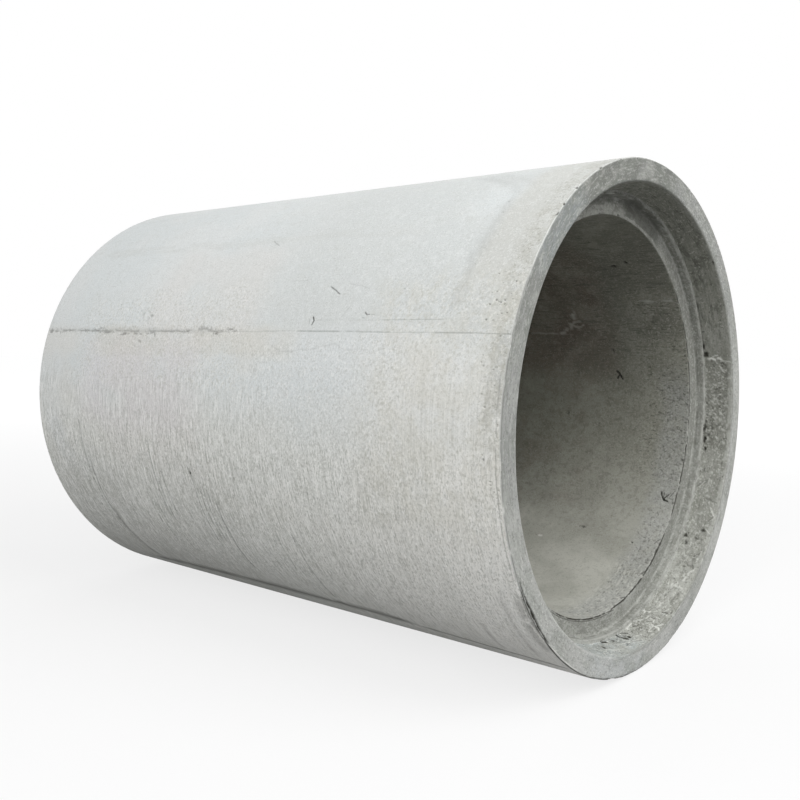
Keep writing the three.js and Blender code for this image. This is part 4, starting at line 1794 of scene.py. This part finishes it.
# Spigot, formed by the other end ring, and stored in the dry.
SPIGOT = Concrete(
    name="formed_concrete_spigot",
    tone="#a3a49f",
    veils=(
        Veil("#8c8d87", 0.5, (90, 160), 0.42, 0.62, 3),
        Veil("#c3c4be", 0.5, (200, 300), 0.3, 0.5, 2, Patch(turn=(-150, -40, 26), stray=60), 3),
        Veil("#7b7c74", 0.4, (260, 300), 0.3, 0.5, 2, Patch(turn=(70, 140, 20), stray=60), 6),
        Veil("#b9bab5", 0.45, (16, 60), 0.5, 0.66, 2, shift=4),
        Veil("#6b6c65", 0.42, (10, 120), 0.54, 0.66, 2, shift=24),
        Veil("#7c7d77", 0.4, (11, 14), 0.52, 0.68, 2, shift=8),
        Veil("#d3d4ce", 0.4, (10, 12), 0.56, 0.68, 2, shift=18),
        Veil("#53544d", 0.5, (13, 15), 0.62, 0.7, 2, shift=28),
        Veil("#c9cac5", 0.6, (30, 60), 0.36, 0.56, 2, Patch(out=(1117, 1200, 3)), 9),
        Veil("#5f6059", 0.5, (50, 90), 0.36, 0.56, 2, Patch(along=(-1486, -1474, 6), stray=3), 11),
    ),
    teeth=(*fine_teeth(0.4), Tooth((12, 14), 0.8, 2, shift=8)),
    turn_from=-180.0,
)

FINISH_OF = {
    Face.BARREL: BARREL,
    Face.SOCKET_END: END_FACE,
    Face.SOCKET_WALL: SOCKET_WALL,
    Face.SOCKET_STEP: SOCKET_RING,
    Face.SOCKET_SEAT: SOCKET_RING,
    Face.SOCKET_SHOULDER: SOCKET_RING,
    Face.BORE: BORE,
    Face.SPIGOT_TIP: SPIGOT,
    Face.SPIGOT_SEAT: SPIGOT,
    Face.SPIGOT_STEP: SPIGOT,
    Face.SPIGOT_WALL: SPIGOT,
    Face.SPIGOT_SHOULDER: END_FACE,
}


# --- The pipe and its studio ---


@dataclass
class SewerPipe:
    """The pipe: one solid of cast concrete that rides on the root body."""

    sizes: PipeSizes = field(default_factory=PipeSizes)

    def build(self) -> bpy.types.Object:
        """Builds the skin, dresses it and lets it stand for the solid.

        Returns:
            The skin.
        """
        section = Section(self.sizes.corners())
        relief = Relief(section, PipeWear(self.sizes).all())
        skin = Skin(section, relief, self.sizes.axis_height).build("concrete_pipe")
        self._dress(skin)
        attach(skin, "root")
        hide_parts("pipe")
        return skin

    def _dress(self, skin: bpy.types.Object) -> None:
        """Gives each face of the section its finish.

        Args:
            skin: the mesh, whose faces carry the number of their Face.
        """
        finishes = list(dict.fromkeys(FINISH_OF.values()))
        for finish in finishes:
            skin.data.materials.append(finish.dress(self.sizes.axis_height * METRES))
        slots = np.array([finishes.index(FINISH_OF[face]) for face in Face], dtype=np.int32)
        numbers = np.empty(len(skin.data.polygons), dtype=np.int32)
        skin.data.polygons.foreach_get("material_index", numbers)
        skin.data.polygons.foreach_set("material_index", slots[numbers])


@dataclass(frozen=True)
class SoftBox:
    """A square soft lamp.

    Attributes:
        name: where it hangs.
        azimuth, elevation: its direction from the pipe, in degrees from +X towards +Y and above the floor.
        distance, size: how far off and how wide it is, in metres.
        power: in watts.
    """

    name: str
    azimuth: float
    elevation: float
    distance: float
    size: float
    power: float

    def hang(self, target: Vector) -> None:
        """Hangs the lamp.

        Args:
            target: what it faces, in metres.
        """
        lamp = bpy.data.lights.new(self.name, "AREA")
        lamp.shape = "SQUARE"
        lamp.size = self.size
        lamp.energy = self.power
        azimuth, elevation = math.radians(self.azimuth), math.radians(self.elevation)
        away = Vector((math.cos(azimuth) * math.cos(elevation), math.sin(azimuth) * math.cos(elevation),
                       math.sin(elevation)))
        holder = bpy.data.objects.new(self.name, lamp)
        holder.location = target + away * self.distance
        holder.rotation_euler = (-away).to_track_quat("-Z", "Y").to_euler()
        holder.visible_camera = False
        bpy.context.scene.collection.objects.link(holder)


@dataclass
class Studio:
    """A pale floor, a soft sky and soft lamps, seen from standing height beside the socket.

    Attributes:
        eye: the camera's place, in metres.
        heading, dip: direction of view, in degrees from +X towards +Y and below the horizon.
        lens, sensor: focal length and sensor width, in millimetres.
        floor_size: width of the floor, in metres.
        floor_glow: what the floor adds to its shading under the pipe, and far from it.
        floor_fade: the distances between which the one goes over into the other, in metres.
        sky: strength of the sky.
        target: what the lamps face, in metres.
        lamps: the soft lamps.
    """

    eye: tuple[float, float, float] = (3.4267, -3.7715, 1.5470)
    heading: float = 130.256
    dip: float = 4.732
    lens: float = 41.62
    sensor: float = 36.0
    floor_size: float = 80.0
    floor_glow: tuple[float, float] = (0.76, 0.948)
    floor_fade: tuple[float, float] = (2.0, 16.0)
    sky: float = 0.24
    target: tuple[float, float, float] = (0.0, 0.0, 1.1)
    lamps: tuple[SoftBox, ...] = (
        SoftBox("softbox_beside", -90.0, 15.0, 12.0, 8.0, 370.0),
        SoftBox("softbox_quarter", -60.0, 30.0, 12.0, 8.0, 560.0),
        SoftBox("softbox_before_socket", 0.0, 35.0, 12.0, 8.0, 720.0),
        SoftBox("softbox_over_socket", 0.0, 55.0, 12.0, 8.0, 300.0),
        SoftBox("softbox_behind", 135.0, 40.0, 12.0, 8.0, 240.0),
        SoftBox("softbox_far_side", 90.0, 20.0, 12.0, 8.0, 300.0),
    )

    def build(self) -> None:
        """Makes the floor, the sky, the lamps and the camera."""
        bpy.context.scene.view_settings.view_transform = "Standard"
        self._floor()
        self._sky()
        for lamp in self.lamps:
            lamp.hang(Vector(self.target))
        self._camera()

    def _floor(self) -> None:
        """A wide floor that fades to white far off, and is mid grey to the light that it sends back."""
        half = self.floor_size / 2
        mesh = bpy.data.meshes.new("studio_floor")
        corners = [(-half, -half, 0), (half, -half, 0), (half, half, 0), (-half, half, 0)]
        mesh.from_pydata(corners, [], [(0, 1, 2, 3)])
        floor = bpy.data.objects.new("studio_floor", mesh)
        bpy.context.scene.collection.objects.link(floor)
        material = bpy.data.materials.new("studio_floor_paint")
        material.use_nodes = True
        tree = material.node_tree
        tree.nodes.clear()
        add = partial(add_node, tree)
        seen = self._seen(tree)
        away = add("VectorMath", {0: add("TexCoord").outputs["Object"]}, operation="LENGTH").outputs["Value"]
        (near, far), (dull, bright) = self.floor_fade, self.floor_glow
        rise = add("MapRange", {"Value": away, "From Min": near, "From Max": far, "To Min": dull,
                                "To Max": bright}, interpolation_type="SMOOTHSTEP")
        paint = add("BsdfDiffuse", {0: linear("#7c7c7c")})
        glow = add("Emission", {0: linear("#ffffff"), 1: rise})
        shown = add("AddShader", {0: paint, 1: glow})
        sent = add("BsdfDiffuse", {0: linear("#969696")})
        add("OutputMaterial", {0: add("MixShader", {0: seen, 1: sent, 2: shown})})
        mesh.materials.append(material)

    def _seen(self, tree: bpy.types.NodeTree) -> bpy.types.Node:
        """Tells what the camera sees, itself or through gloss and glass.

        Args:
            tree: the node tree of the floor or the sky.

        Returns:
            A node that gives 1 there, and otherwise 0.
        """
        add = partial(add_node, tree)
        path = add("LightPath").outputs
        first = add("Math", {0: path["Is Camera Ray"], 1: path["Is Glossy Ray"]}, operation="MAXIMUM")
        return add("Math", {0: first, 1: path["Is Transmission Ray"]}, operation="MAXIMUM")

    def _sky(self) -> None:
        """An even sky that lights the pipe, with a white background to look at."""
        world = bpy.data.worlds.new("studio_sky")
        bpy.context.scene.world = world
        world.use_nodes = True
        tree = world.node_tree
        tree.nodes.clear()
        add = partial(add_node, tree)
        light = add("Background", {0: linear("#fbfcff"), 1: self.sky})
        white = add("Background", {0: linear("#ffffff"), 1: 1.0})
        add("OutputWorld", {0: add("MixShader", {0: self._seen(tree), 1: light, 2: white})})

    def _camera(self) -> None:
        """Sets up the camera, at standing height."""
        heading, dip = math.radians(self.heading), math.radians(self.dip)
        gaze = Vector((math.cos(heading) * math.cos(dip), math.sin(heading) * math.cos(dip), -math.sin(dip)))
        camera = bpy.data.cameras.new("camera")
        camera.lens = self.lens
        camera.sensor_width = self.sensor
        camera.clip_end = 200.0
        holder = bpy.data.objects.new("camera", camera)
        holder.location = self.eye
        holder.rotation_euler = gaze.to_track_quat("-Z", "Y").to_euler()
        bpy.context.scene.collection.objects.link(holder)
        bpy.context.scene.camera = holder


def main() -> None:
    """Builds the studio and the pipe."""
    logging.basicConfig(level=logging.INFO, format="%(name)s: %(message)s")
    Studio().build()
    pipe = SewerPipe().build()
    log.info("%s is dressed in %d finishes", pipe.name, len(pipe.data.materials))


if __name__ == "__main__":
    main()
